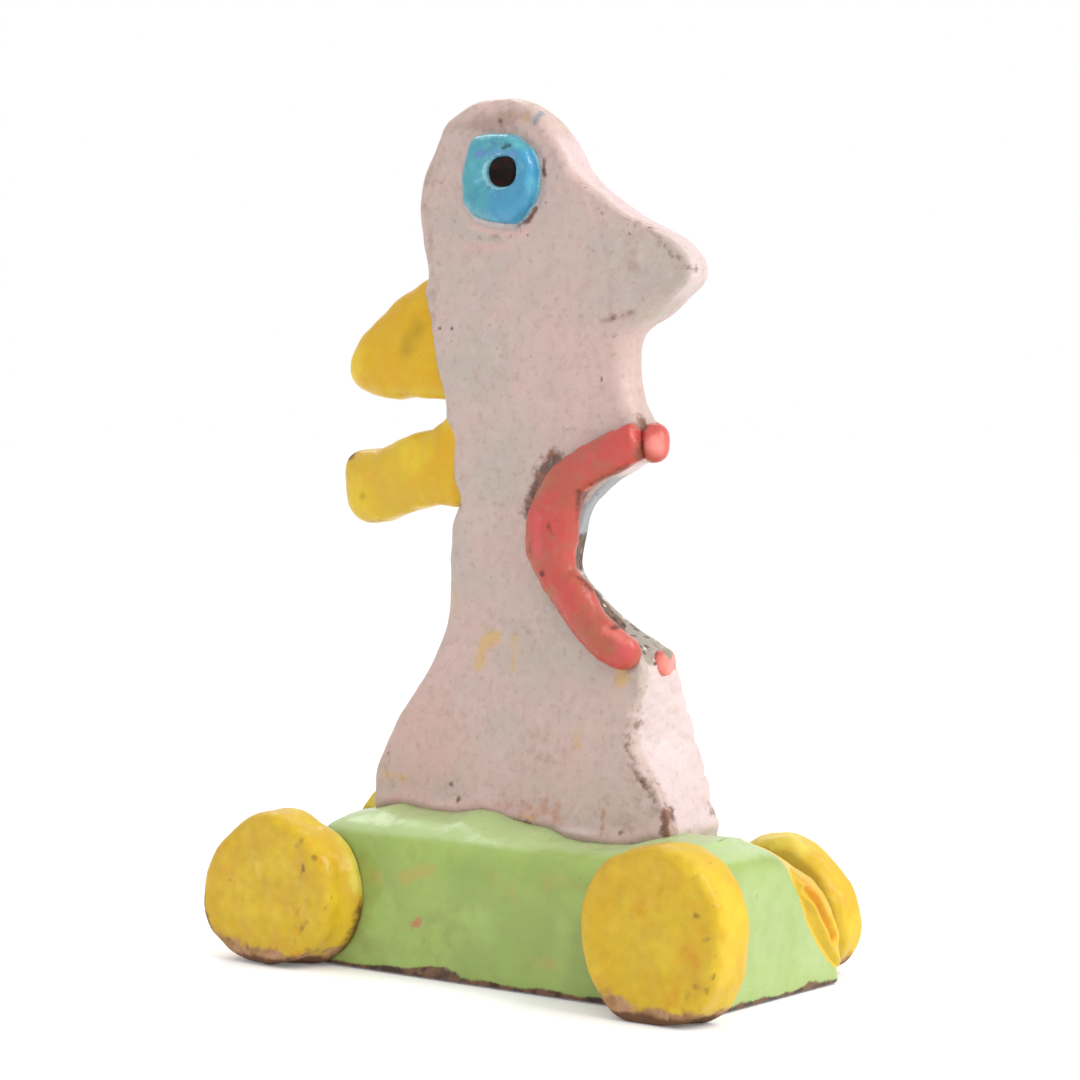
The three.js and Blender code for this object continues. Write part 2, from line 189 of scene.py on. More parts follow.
# Pinched outline of the eye discs on their near face.
EYE_EDGE = [
    (5.7, 182.4), (5.3, 185.6), (3.8, 188.4), (1.4, 190.4), (-1.5, 192.2), (-6.7, 192.6), (-11.8, 192.4),
    (-13.2, 190.5), (-14.3, 187.6), (-15.4, 184.1), (-15.7, 180.3), (-15.2, 176.6), (-12.7, 173.8),
    (-8.4, 172.4), (-4.1, 171.8), (-0.3, 171.7), (1.6, 173.2), (3.9, 175.8), (5.5, 178.6),
]


def off_eye(p):
    """Distance to the pinched outline of the eye discs, seen from the side."""
    return off_line(p, EYE_EDGE + EYE_EDGE[:1])


def shape_slab():
    """The rings, moved out or in by kneading lumps, by the groove and the swell along the joint of
    the nose, its crease, two thumb hollows, a welt round the eye, the ragged wire cut of the chest,
    the flare of the foot and the gap behind the lip."""
    p, out, chest = slab_rings()
    near = ease(0.5, 3, -p[..., 1])
    lift = 0.42 * kneaded(p, 34, 1) + 0.2 * kneaded(p, 11, 2) + 0.07 * kneaded(p, 4, 3)
    lift += near * painted(
        p, (-0.5, 0.9, NOSE_SEAM), (0.5, 5, NOSE_SEAM), (-0.7, 0.8, NOSE_CREASE), (-0.7, 34, 161, 7, 5),
        (-0.5, 2, 55, 5, 5), (0.9, 1.7, FOOT_LINE), (-0.5, 0.8, LIP_CREVICE),
    )
    lift += 0.3 * bell((off_eye(p) - 1.6) / 1.4) * near
    ragged = kneaded(p, 3.5, 4) + 0.6 * kneaded(p, 1.8, 5)
    lift += chest * 0.3 * ragged * ease(28, 36, p[..., 0])
    lift += 0.8 * bell((p[..., 2] - 36.5) / 2) * ease(-1, 2, p[..., 1])
    lift *= ease(200.9, 199.5, p[..., 2]) * 0.8 + 0.2
    return p + lift[..., None] * out


def stretch_skin(name, rings, marks=None, joined=False):
    """Mesh over rows of rings in mm. Point j of ring i joins its neighbours on the ring and on the
    next ring. Each end is drawn together in the mean of its ring, or, where joined, the last ring
    joins the first. marks(points) gives a number from 0 to 1 at each point for each named mark."""
    rows, around = rings.shape[:2]
    points = rings.reshape(-1, 3)
    index = np.arange(rows * around).reshape(rows, around)
    if joined:
        index = np.vstack([index, index[:1]])
    here, there = index[:-1], index[1:]
    faces = np.stack([here, np.roll(here, -1, 1), np.roll(there, -1, 1), there], -1).reshape(-1, 4)
    caps = np.zeros((0, 3), int)
    if not joined:
        first, last = len(points), len(points) + 1
        points = np.vstack([points, rings[0].mean(0), rings[-1].mean(0)])
        ends = index[0], index[-1]
        caps = np.vstack([
            np.stack([np.full(around, first), np.roll(ends[0], -1), ends[0]], -1),
            np.stack([np.full(around, last), ends[1], np.roll(ends[1], -1)], -1),
        ])
    a, b, c, d = (points[faces[:, k]] for k in range(4))
    if (np.cross(a, b) * c + np.cross(a, c) * d).sum() < 0:
        faces, caps = faces[:, ::-1], caps[:, ::-1]
    corners = np.concatenate([faces.ravel(), caps.ravel()]).astype(np.int32)
    starts = np.concatenate([np.arange(len(faces)) * 4, len(faces) * 4 + np.arange(len(caps)) * 3])
    mesh = bpy.data.meshes.new(name)
    mesh.vertices.add(len(points))
    mesh.vertices.foreach_set("co", (points * 0.001).astype(np.float32).ravel())
    mesh.loops.add(len(corners))
    mesh.loops.foreach_set("vertex_index", corners)
    mesh.polygons.add(len(starts))
    mesh.polygons.foreach_set("loop_start", starts.astype(np.int32))
    mesh.update(calc_edges=True)
    mesh.polygons.foreach_set("use_smooth", np.ones(len(starts), bool))
    for key, value in (marks(points) if marks else {}).items():
        layer = mesh.attributes.new(key, "FLOAT", "POINT")
        layer.data.foreach_set("value", np.clip(value + np.zeros(len(points)), 0, 1).astype(np.float32))
    piece = bpy.data.objects.new(name, mesh)
    bpy.context.scene.collection.objects.link(piece)
    return piece


def set_in_place(piece, glaze, node):
    """Glazes a finished piece, lets it ride on the figure and stand for its solid."""
    piece.data.materials.append(glaze)
    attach(piece, "root")
    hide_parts(node)


def shade(tree, kind, inputs=None, **settings):
    """One shader node, its inputs set to numbers, colours or other nodes' outputs."""
    node = tree.nodes.new("ShaderNode" + kind)
    for key, value in settings.items():
        setattr(node, key, value)
    for key, value in (inputs or {}).items():
        if isinstance(value, bpy.types.NodeSocket):
            tree.links.new(value, node.inputs[key])
        else:
            node.inputs[key].default_value = value
    return node


def tint(red, green, blue):
    """Display colour from 0 to 255 as linear light."""
    c = np.array([red, green, blue]) / 255
    return (*np.where(c < 0.04045, c / 12.92, ((c + 0.055) / 1.055) ** 2.4).tolist(), 1)


def times(tree, a, b):
    """Product of two values."""
    return shade(tree, "Math", {0: a, 1: b}, operation="MULTIPLY").outputs[0]


def plus(tree, a, b):
    """Sum of two values."""
    return shade(tree, "Math", {0: a, 1: b}).outputs[0]


def stretch(tree, value, low, high, to_low=0.0, to_high=1.0):
    """Smooth step of a value from low..high to to_low..to_high."""
    limits = {0: value, 1: low, 2: high, 3: to_low, 4: to_high}
    return shade(tree, "MapRange", limits, interpolation_type="SMOOTHSTEP").outputs[0]


def between(tree, value, to_low, to_high, low=0.0, high=1.0):
    """Straight step of a value from low..high to to_low..to_high."""
    return shade(tree, "MapRange", {0: value, 1: low, 2: high, 3: to_low, 4: to_high}).outputs[0]


def place(tree, shift=0.0):
    """Place on the figure in metres, moved by shift along each axis."""
    spot = shade(tree, "TexCoord").outputs["Object"]
    return shade(tree, "VectorMath", {0: spot, 1: (shift,) * 3}).outputs[0]


def grain(tree, size, detail=3.0, shift=0.0):
    """Noise about size mm across, as a value and as a colour."""
    where = place(tree, shift)
    return shade(tree, "TexNoise", {"Vector": where, "Scale": 1000 / size, "Detail": detail}).outputs


def cloud(tree, size, low, high, detail=2.0, shift=0.0):
    """Soft patches about size mm across, 0 in the gaps and 1 in the patches."""
    return stretch(tree, grain(tree, size, detail, shift)[0], low, high)


def specks(tree, spacing, share, biggest, shift=0.0):
    """Uneven dots: in a share of the cells, spacing mm apart, a dot of up to biggest mm radius. Fine
    grain moves each place by up to 0.4 mm, so that no dot is a true circle."""
    bent = shade(tree, "VectorMath", {
        0: grain(tree, 1 / 2.2, 1, shift)["Color"], 1: (0.0004,) * 3, 2: place(tree, shift),
    }, operation="MULTIPLY_ADD").outputs[0]
    cell = shade(tree, "TexVoronoi", {"Vector": bent, "Scale": 1000 / spacing}).outputs
    draw = shade(tree, "SeparateColor", {0: cell["Color"]}).outputs[0]
    size = stretch(tree, draw, 1 - share, 1, 0, biggest / spacing)
    inside = shade(tree, "Math", {0: size, 1: cell["Distance"]}, operation="SUBTRACT").outputs[0]
    return stretch(tree, inside, 0, 0.25 * biggest / spacing)


def laid(tree, name):
    """Strength of a mark laid on the piece."""
    return shade(tree, "Attribute", attribute_name=name).outputs["Fac"]


def mark(tree, name, ragged, size, low, high):
    """Smooth step of a laid mark from low to high, its edge broken up by grain about size mm across."""
    moved = between(tree, grain(tree, size)[0], -ragged, ragged, 0.3, 0.7)
    return stretch(tree, plus(tree, laid(tree, name), moved), low, high)


def over(tree, under, colour, cover):
    """Colour laid over what is under it, where cover is 1."""
    return shade(tree, "Mix", {0: cover, 6: under, 7: colour}, data_type="RGBA").outputs[2]


def patchy(tree, colour, other, *patches):
    """A display colour with patches of another."""
    return over(tree, tint(*colour), tint(*other), cloud(tree, *patches))


def layered(tree, base, layers):
    """Glazes one over the other. A layer is its colour, for display or as a socket, how much of what
    is under it it hides, and the pattern it follows, with what that pattern asks for."""
    for colour, share, pattern, *how in layers:
        colour = tint(*colour) if isinstance(colour, tuple) else colour
        base = over(tree, base, colour, times(tree, pattern(tree, *how), share))
    return base


def fired_glaze(name, colour, dull, relief, shine=0.5, coat=0.0):
    """Glaze: colour(tree), dull(tree) and relief(tree) give its colour, its roughness and its
    height in mm as sockets. Shine is how strongly it mirrors, coat how much clear gloss is on top."""
    glaze = bpy.data.materials.new(name)
    glaze.use_nodes = True
    tree = glaze.node_tree
    tree.nodes.clear()
    bump = shade(tree, "Bump", {"Height": relief(tree), "Strength": 1, "Distance": 0.001})
    skin = shade(tree, "BsdfPrincipled", {
        "Base Color": colour(tree), "Roughness": dull(tree), "Normal": bump.outputs[0],
        "Specular IOR Level": shine, "Coat Weight": coat, "Coat Roughness": 0.12,
    })
    shade(tree, "OutputMaterial", {"Surface": skin.outputs[0]})
    return glaze


# Single iron dots and pits on the near face: x, z, radius (mm), strength.
SLAB_DOTS = [
    (-6.4, 195.5, 0.8, 0.9), (-5.9, 194.2, 0.7, 0.8), (-4, 196.8, 0.6, 0.7), (7.3, 176.4, 0.5, 0.9),
    (0, 169.9, 0.5, 0.8), (1.7, 169.1, 0.5, 0.8), (23.4, 173, 0.6, 0.8), (-23.4, 182.1, 0.5, 0.6),
    (-19.3, 173.1, 0.6, 0.6), (27.8, 153.8, 0.5, 0.7), (26.8, 145.9, 0.6, 0.8), (23.2, 136, 0.6, 0.8),
    (-24.1, 148.3, 0.5, 0.8), (-20.5, 148.1, 0.5, 0.8), (-24.2, 145.4, 0.5, 0.8), (-20.6, 145.3, 0.5, 0.8),
    (-28.9, 177.2, 0.5, 0.6), (-18.2, 106.8, 1, 0.8), (-23.6, 125.6, 0.5, 0.6), (-35.7, 48.1, 0.6, 0.7),
    (-16.1, 42.4, 0.7, 0.8), (-13.3, 38.9, 0.9, 0.9), (16, 58.6, 0.4, 0.6), (33.6, 35.5, 0.9, 0.9),
    (34, 165, 0.5, 0.6), (31, 168.4, 0.6, 0.7),
]


def slab_marks(p):
    """Marks on the pink, as dabs and strokes: ochre, rust and brown stains where other glazes lie, the
    brown in the seam before the lip's ball deepened as painted shadow, bare clay, slate blue, grey-blue
    on the rim inside the notch, olive in the notch, drifts of the pink itself to pale and rosy, and
    darker pink: painted shade under the nose and beside the back rim, and darker patches on crown,
    forehead, nose and chest."""
    x, y, z = p.T
    near, far = ease(0.5, 2, -y), ease(0.5, 2, y)
    courses = np.array(SLAB_COURSES)[::-1]
    half = np.interp(z, courses[:, 0], courses[:, 3]) / 2
    within = half - np.abs(y)
    corner = ease(4.5, 2.5, half + y)
    notch = ease(119, 117, z) * ease(74, 77, z) * ease(6, 9, x) * ease(0.5, 1.2, within)
    by_near_lip = ease(-1.6, -2.6, y + 1.8 * ease(101, 104, z) - 5.6 * ease(91, 88, z) * ease(78, 81, z))

    ochre = near * painted(
        p, (1, -6.9, 76.4, 2.4, 1.7), (1, 1.7, [(-7.5, 76.5), (-9.8, 74), (-10.4, 70.2)]),
        (0.7, 1.5, [(-0.7, 76.4), (-0.1, 70)]), (0.45, 19.8, 54.6, 2.6, 3.6), (0.45, -18.9, 84.8, 1.5, 3),
        (0.8, -34, 42.6, 4.5, 1.5), (0.9, 1.9, [(29.8, 71.8), (31, 69)]), (0.5, 0.3, 194.9, 1.4, 1.8),
        (0.8, 0.7, [(5, 37), (10, 36.2)]),
    ) + far * painted(p, (0.7, 12, 60, 4, 2), (0.7, -12, 132, 2, 4))
    rust = near * painted(
        p, (0.55, 2.3, [(-1, 39.2), (7.5, 38.4), (15, 37.2)]), (0.9, 0.7, [(28, 39.6), (28.3, 34.6)]),
        (0.4, 12, 39.6, 6, 2.4), (0.5, 35, 36.5, 3, 1),
    )
    brown = near * corner * painted(
        p, (0.42, 1.1, CHEST_EDGE), (0.8, 37.8, 68.6, 1.3, 2.2), (1, 0.9, [(44.7, 40.6), (45.4, 36)]),
        (0.3, 39, 47, 2.4, 2.4),
    ) + near * painted(
        p, (0.45, 0.9, [(31, 171.4), (35.9, 169.8), (39.8, 165.7), (44, 162.1), (48, 159.6)]),
        (0.4, 0.7, NOSE_CREASE), (0.7, 0.8, [(3, 35.4), (9.4, 34.8)]), (1.25, 2.1, LIP_CREVICE),
        # The stroke from (32.6, 128.4) to (33.2, 125.4) is brown clay in the seam before the lip's ball,
        # darkened as painted shadow of the gap.
        (0.6, 1.2, [(26.8, 121.4), (33, 124.6)]), (1.1, 0.9, [(32.6, 128.4), (33.2, 125.4)]),
        (0.9, 0.7, [(6.6, 186), (6.8, 182.6)]), (0.9, 0.8, [(-0.4, 171.4), (2.8, 173), (4.4, 175.2)]),
    ) + 0.6 * dab(p, 44.6, 39, 0.8, 2) * ease(5, 7, y)
    dots = [depth * dab(p, dot_x, dot_z, size, size) for dot_x, dot_z, size, depth in SLAB_DOTS]
    bare = np.max(dots, axis=0) * near
    bare += notch * (0.85 * by_near_lip + ease(102, 100, z) * ease(91.5, 93.5, z))
    slate = near * painted(
        p, (0.9, 0.8, [(3.4, 198.2), (4.2, 196.6), (3.8, 194.6)]), (0.5, 10.4, 181.8, 0.8, 1.4))
    # Grey-blue over the rim face inside the upper part of the notch.
    slate += 0.85 * notch * ease(98, 102, z) * ease(116, 113, z) * (1 - by_near_lip)
    olive = 0.8 * notch * ease(93, 91, z) + 0.55 * dab(p, -8, 168.8, 6, 1.1) * near
    olive += 1.1 * bell((y + 2.8) / 2.4) * ease(71.5, 73, z) * ease(82, 79, z) * ease(28, 31, x)

    pale = near * painted(p, (0.7, 22, 34.8, 7, 1.1), (0.5, -17, 37.8, 6, 0.9))
    under_eye = np.maximum(ease(186, 172, z), 0.8 * dab(p, 8, 187, 4, 6))
    pale += 1.1 * near * bell((off_eye(p) - 0.2) / 0.9) * under_eye
    pale += 0.9 * notch * dab(p, 27, 116, 7, 1.8) * (1 - by_near_lip)
    pale += 0.75 * ease(30, 36, x) * ease(76, 73, z) * ease(1.2, 3, half + y)
    pale += 0.6 * ease(150, 156, z) * ease(0.5, 1.6, within) * ease(4, 12, x)
    # Darker pink: the dab at (36, 134) is painted shade on the upper lip's front under the nose, the others
    # are darker patches on crown, forehead, nose and chest.
    dusk = near * painted(
        p, (0.45, -5, 197.5, 14, 4.5), (0.75, -10, 194.8, 9, 1.9), (0.35, 36, 134, 3, 8),
        (0.45, 31, 164, 4, 9), (0.38, 9, 52, 11, 9), (0.5, 34, 37.4, 4, 2),
    )
    # Painted shade beside the back rim.
    dusk += 0.5 * bell((off_line(p, [(-24, 190), (-29, 178), (-27, 150)]) - 1) / 1.5) * ease(-2.5, -3.5, y)
    rosy = near * painted(p, (1, -24, 52, 12, 16), (0.9, -9, 166.6, 9, 1.4), (0.6, 1.6, FOOT_LINE))
    rosy += near * bell(off_eye(p) - 2.2) * ease(178, 170, z)
    return dict(ochre=ochre, rust=rust, brown=brown, bare=bare, slate=slate, olive=olive, pale=pale,
                dusk=dusk, rosy=rosy)


# How the olive's edge is broken up: raggedness, size of the grain (mm), limits of the smooth step.
OLIVE_EDGE = 0.3, 1.6, 0.2, 0.8


def olive_specks(tree, *dots):
    """Specks, only where the olive lies."""
    return times(tree, mark(tree, "olive", *OLIVE_EDGE), specks(tree, *dots))


def pink_colour(tree):
    """Pink drifting to grey, mottled, with stains over it and iron specks on top."""
    brown = patchy(tree, (118, 66, 34), (80, 48, 34), 2, 0.4, 0.6, 3)
    rust = patchy(tree, (104, 74, 50), (66, 42, 34), 1.6, 0.4, 0.6, 3)
    return layered(tree, patchy(tree, (185, 162, 155), (174, 160, 151), 30, 0.4, 0.62), [
        ((193, 162, 156), 0.6, cloud, 22, 0.45, 0.65, 2, 0.3),
        ((196, 157, 152), 0.7, mark, "rosy", 0.15, 6, 0.1, 0.9),
        ((168, 145, 136), 0.4, cloud, 2.8, 0.44, 0.74, 5),
        ((200, 178, 172), 0.35, cloud, 3.4, 0.5, 0.8, 5, 0.7),
        # Darker pink, in part painted shade under the nose and beside the back rim.
        ((152, 127, 115), 0.8, mark, "dusk", 0.25, 3, 0.2, 0.9),
        ((206, 186, 185), 0.85, mark, "pale", 0.12, 3, 0.15, 0.85),
        ((196, 158, 88), 0.7, mark, "ochre", 0.3, 3, 0.1, 1),
        ((168, 114, 86), 0.7, mark, "rust", 0.42, 2.6, 0.1, 1.1),
        ((126, 134, 137), 0.9, mark, "slate", 0.15, 2, 0.2, 0.8),
        ((138, 130, 116), 0.85, mark, "olive", *OLIVE_EDGE),
        ((78, 60, 48), 0.85, olive_specks, 1.7, 1, 1, 0.3),
        (brown, 0.9, mark, "brown", 0.34, 1.4, 0.1, 1),
        (rust, 0.95, mark, "bare", 0.3, 1.5, 0.15, 1),
        ((212, 202, 192), 0.85, olive_specks, 2.3, 0.8, 0.9, 0.9),
        ((136, 110, 100), 0.45, specks, 3.4, 0.3, 0.4),
        ((98, 70, 64), 0.8, specks, 10, 0.4, 0.55, 0.2),
    ])


def pink_dull(tree):
    """Satin, drier where the clay is bare."""
    return stretch(tree, laid(tree, "bare"), 0.1, 0.8, 0.46, 0.75)


def pink_relief(tree):
    """Orange-peel skin with pinholes at the specks, in mm."""
    skin = plus(tree, times(tree, grain(tree, 1.25)[0], 0.1), times(tree, cloud(tree, 4.5, 0.3, 0.7), 0.16))
    return plus(tree, skin, times(tree, specks(tree, 10, 0.4, 0.55, 0.2), -0.3))


pink_glaze = fired_glaze("pink_satin_glaze", pink_colour, pink_dull, pink_relief)
head = stretch_skin("clay_head", shape_slab(), slab_marks)
set_in_place(head, pink_glaze, "head_slab")

# Eyes: on each face a pinched disc of clay with a hole, pressed on and glazed sky blue,
# and in the hole a plug of black glaze that dips in the middle.

EYE_X, EYE_Z = -4.6, 182.3
# Corners of the pinched outline as degrees round the middle and mm from it.
EYE_OUTLINE = [
    (math.degrees(math.atan2(z - EYE_Z, x - EYE_X)) % 360, math.hypot(x - EYE_X, z - EYE_Z))
    for x, z in EYE_EDGE
]
HOLE_X, HOLE_Z = EYE_X + 1, EYE_Z + 1.4
# Half width and half height of the hole, and how far off the middle of the slab the disc sits.
HOLE_WIDE, HOLE_HIGH = 4.2, 3.4
EYE_SEAT = 4.6
# Across the ring from the hole to the rim: share of the way, height above the seat.
EYE_SECTION = [
    (0, -0.4), (0, 1.2), (0.02, 2.7), (0.1, 3.5), (0.25, 3.9), (0.5, 4.3), (0.74, 4.2),
    (0.9, 3.5), (0.98, 2.4), (1, 1.2), (1, -0.4),
]


def pinched_outline(corners, angle, soft):
    """Radius at each angle of a polygon with the given corners (degrees, radius), its corners
    softened by a bell-shaped mean over soft degrees. Both are worked out every half degree, the mean
    over 60 steps each way."""
    step, reach = 0.5, 60
    deg, radius = np.radians([c[0] for c in corners]), np.array([c[1] for c in corners], float)
    fine = np.radians(np.arange(0, 360, step))
    after = np.searchsorted(deg, fine) % len(deg)
    a0, a1, r0, r1 = deg[after - 1], deg[after], radius[after - 1], radius[after]
    span, part = (a1 - a0) % (2 * np.pi), (fine - a0) % (2 * np.pi)
    r = r0 * r1 * np.sin(span) / (r0 * np.sin(part) + r1 * np.sin(span - part))
    weight = bell(np.arange(-reach, reach + 1) * step / soft)
    beyond = np.take(r, np.arange(-reach, len(r) + reach), mode="wrap")
    r = np.convolve(beyond, weight / weight.sum(), "valid")
    return np.interp(angle % (2 * np.pi), np.append(fine, 2 * np.pi), np.append(r, r[0]))


def squarer(wave, power):
    """A cosine or sine drawn towards a square: its size to the power, with its sign."""
    return np.sign(wave) * np.abs(wave) ** power


def hole_rim(angle):
    """Half width and half height of the hole times the cosine and sine, a little squarer."""
    return HOLE_WIDE * squarer(np.cos(angle), 0.85), HOLE_HIGH * squarer(np.sin(angle), 0.85)


def shape_eye_ring(side):
    """At each angle the section runs from the rim of the hole to the pinched outline; a fine lump
    field and a crease across the top are added. The far disc's outline is turned by half a radian."""
    angle = full_turn(150)[:, None]
    share, height = spaced(EYE_SECTION, 60)[:, None, :]
    outline = pinched_outline(EYE_OUTLINE, angle + (0.5 if side > 0 else 0), 4)
    across, upward = hole_rim(angle)
    x = (HOLE_X + across) * (1 - share) + (EYE_X + outline * np.cos(angle)) * share
    z = (HOLE_Z + upward) * (1 - share) + (EYE_Z + outline * np.sin(angle)) * share
    p = np.stack([x, height + 0 * x, z], -1)
    up = ease(1, 3, p[..., 1])
    lift = 0.16 * kneaded(p, 7, 20 + side) + 0.08 * kneaded(p, 3, 22)
    lift -= 0.35 * bell((np.hypot(x - HOLE_X, z - HOLE_Z) - 6.3) / 0.5) * bell((angle - 1.9) / 0.8)
    p[..., 1] = side * (EYE_SEAT + p[..., 1] + lift * up)
    return p


def blue_marks(p):
    """Pale glaze drawn thin round the hole and over the rim, turquoise to the left and above, two
    violet streaks and a few dark flecks."""
    x, y, z = p.T
    from_hole = 4 * np.hypot((x - HOLE_X) / HOLE_WIDE, (z - HOLE_Z) / HOLE_HIGH)
    rim = np.abs(y) - EYE_SEAT
    lower_left = ease(4, -3, x - HOLE_X) * ease(4, -2, z - HOLE_Z)
    spoke = 0.5 + 0.5 * np.sin(17 * np.arctan2(z - HOLE_Z, x - HOLE_X))
    thin = bell((from_hole - 4.5) / 0.45) * (0.7 + 0.4 * lower_left) + 0.7 * ease(2, 0.6, rim)
    thin += 0.4 * lower_left * bell((from_hole - 6) / 2) * spoke
    thin += 0.5 * bell((z - 191.6) / 0.8) * ease(2.4, 3.2, rim)
    left = np.maximum(ease(2, -5, x - EYE_X), ease(187, 190, z))
    fleck = painted(p, (1, 0.5, [(-2.4, 188.9), (-0.2, 189.4)]), (0.5, 0.4, [(-5.4, 190.2), (-1, 189.9)]))
    violet = painted(p, (0.9, 0.9, [(-10, 187.6), (-8.6, 188)]), (0.55, 0.9, [(-8.6, 187.8), (1, 187.4)]))
    return dict(thin=thin, left=left, fleck=fleck, violet=violet)


def blue_colour(tree):
    """Sky blue, turquoise to one side, milky where thin, with violet streaks and dark flecks."""
    return layered(tree, tint(54, 136, 172), [
        ((66, 144, 156), 1, mark, "left", 0.2, 5, 0.1, 0.9),
        ((44, 118, 156), 0.45, cloud, 2.6, 0.45, 0.65, 3),
        ((92, 168, 186), 0.4, cloud, 3.4, 0.5, 0.7, 4, 0.3),
        ((146, 196, 204), 0.7, mark, "thin", 0.25, 1.2, 0.2, 0.95),
        ((84, 112, 176), 0.7, mark, "violet", 0.25, 2, 0.15, 1),
        ((30, 80, 104), 0.6, specks, 3, 0.3, 0.3),
        ((18, 62, 82), 0.9, mark, "fleck", 0.2, 1.4, 0.2, 0.9),
    ])


def glossy(low, high, size):
    """Gloss that wanders between two roughnesses in patches about size mm across."""
    return lambda tree: between(tree, cloud(tree, size, 0.35, 0.65), low, high)


def pooled(height, size, pits=0.0):
    """Gentle waves of a melted glaze, height mm high and size mm long, with pinholes pits mm deep."""
    return lambda tree: plus(
        tree, times(tree, cloud(tree, size, 0.2, 0.8), height),
        times(tree, specks(tree, 5.5, 0.3, 0.5, 0.4), -pits),
    )


# Over the plug, from its buried end to the dip: share of the hole, height above the seat.
PLUG_SECTION = [
    (0.3, -1.2), (0.9, -1), (1.06, -0.2), (1.08, 1.2), (1.03, 2.1), (0.9, 2.2), (0.6, 1.5), (0.3, 1.1),
    (0.06, 1),
]


def shape_plug(side):
    """Rings from the middle of the buried end out over the rim to the middle of the dip."""
    share, height = spaced(PLUG_SECTION, 40)[:, :, None]
    angle = full_turn(64)[None, :]
    across, upward = hole_rim(angle)
    y = side * (EYE_SEAT + height) + 0 * angle
    return np.stack([HOLE_X + across * share, y, HOLE_Z + upward * share], -1)


blue_glaze = fired_glaze(
    "sky_blue_glaze", blue_colour, glossy(0.18, 0.32, 5), pooled(0.14, 3, 0.1), 0.5, 0.1)
black_glaze = fired_glaze(
    "black_glaze", lambda tree: patchy(tree, (18, 8, 8), (46, 12, 10), 2, 0.5, 0.7),
    glossy(0.3, 0.5, 2), pooled(0.1, 1.5), 0.12,
)
for side, word in ((-1, "near"), (1, "far")):
    ring = stretch_skin("eye_disc_" + word, shape_eye_ring(side), blue_marks, joined=True)
    set_in_place(ring, blue_glaze, "eye_ring_" + word)
    plug = stretch_skin("eye_plug_" + word, shape_plug(side))
    set_in_place(plug, black_glaze, "pupil_" + word)

# Lips: on each face one rolled coil, flattened as it was pressed round the notch.
# The far coil's upper end is brought round the front rim, its lower end folds over the chest.
# The coral glaze is glossy and breaks brown on ridges.

# Along the coil: x, y, z, width, depth (mm).
NEAR_LIP = [
    [35.2, -6.3, 122.4, 8, 5.4], [31.8, -6.5, 121.3, 8.8, 6.4], [26.6, -6.6, 119.2, 9.4, 6.6],
    [20.6, -6.6, 116.6, 9.8, 6.8], [15.6, -6.5, 113.2, 10.4, 6.8], [12.4, -6.5, 108.4, 12.2, 6.8],
    [10.6, -6.6, 103.4, 14.2, 7.2], [10.2, -6.7, 98.8, 13.8, 7.6], [11.2, -6.7, 94.4, 11.2, 7.2],
    [13.2, -6.8, 90.6, 9.6, 6.6], [17, -7.1, 86.8, 9.6, 6.6], [21.2, -7.4, 81.8, 9.6, 6.6],
    [26.2, -7.8, 77.9, 8.8, 6.8], [31.4, -8.2, 75.5, 7.8, 6.6], [35.9, -8, 74.4, 6.6, 5.8],
]
FAR_LIP = [
    [38.4, -6.4, 121.7, 8, 6], [37.2, -4.2, 121.7, 8.2, 6.2], [34.8, -0.6, 121.7, 8.2, 6.4],
    [31, 4.2, 121.8, 8.8, 6.6], [25.6, 6.8, 122.2, 9.4, 6.8], [19, 6.8, 120.8, 9.6, 6.8],
    [13, 6.6, 118, 10.2, 6.8], [6.6, 6.6, 113.2, 11, 6.8], [2.2, 6.6, 107.4, 12, 6.8],
    [0.2, 6.6, 101.6, 12.4, 6.8], [0.2, 6.8, 95.6, 12, 6.8], [2.2, 7, 89.6, 11, 6.8],
    [7, 7.3, 83, 10.6, 6.8], [13.4, 7.7, 77.2, 10.4, 6.8], [21, 8.2, 73.4, 9.8, 6.8],
    [28.4, 7.6, 71.8, 9, 6.6], [33.4, 4.8, 71.9, 7.6, 5.8], [35.6, 1.8, 72.4, 6.4, 4.6],
    [36.3, -1.4, 72.7, 5.2, 4],
]
# Rings along a coil and points round it.
LIP_ALONG, LIP_AROUND = 240, 56


def shape_coil(rows, seed, blunt):
    """Flattened tube along the rows, its rings closer at the ends: point = middle + across w/2 cos a,
    a little squarer, + outward d/2 sin a, where across lies in the face and square to the path, and
    is carried on where the path leaves the face. The ends close as half ellipses, blunt mm long, and
    finger dents pinch the width."""
    even = np.linspace(0, 1, LIP_ALONG)
    s = (0.35 * (1 - np.cos(np.pi * even)) / 2 + 0.65 * even) * (len(rows) - 1)
    x, y, z, width, depth = run_through(rows, s).T
    mid = np.stack([x, y, z], -1)
    ahead = unit(np.gradient(mid, axis=0))
    run = np.concatenate([[0], np.cumsum(np.linalg.norm(np.diff(mid, axis=0), axis=1))])
    across = np.cross(ahead, [0, 1, 0])
    in_face = np.linalg.norm(across, axis=1) > 0.75
    across = np.stack([np.interp(run, run[in_face], across[in_face, k]) for k in range(3)], -1)
    across = unit(across - (across * ahead).sum(1, keepdims=True) * ahead)
    out = np.cross(ahead, across)
    closing = np.clip(1 - np.minimum(run / blunt[0], (run[-1] - run) / blunt[1]), 0, 1)
    close = np.sqrt(np.clip(1 - closing**2, 0.0004, 1))
    rng = np.random.default_rng(seed)
    dents = sum(a * np.cos(run / w + f) for a, w, f in zip((0.4, 0.3), (3.6, 2.1), rng.uniform(0, 6, 2)))
    a = full_turn(LIP_AROUND)[:, None]
    wide = ((width + dents) / 2 * close)[:, None, None] * squarer(np.cos(a), 0.75)
    deep = ((depth + 0.5 * dents) / 2 * close)[:, None, None] * np.sin(a)
    p = mid[:, None] + across[:, None] * wide + out[:, None] * deep
    lift = (0.26 * kneaded(p, 9, seed) + 0.12 * kneaded(p, 3.5, seed + 1)) * close[:, None]
    return p + unit(p - mid[:, None]) * lift[..., None]


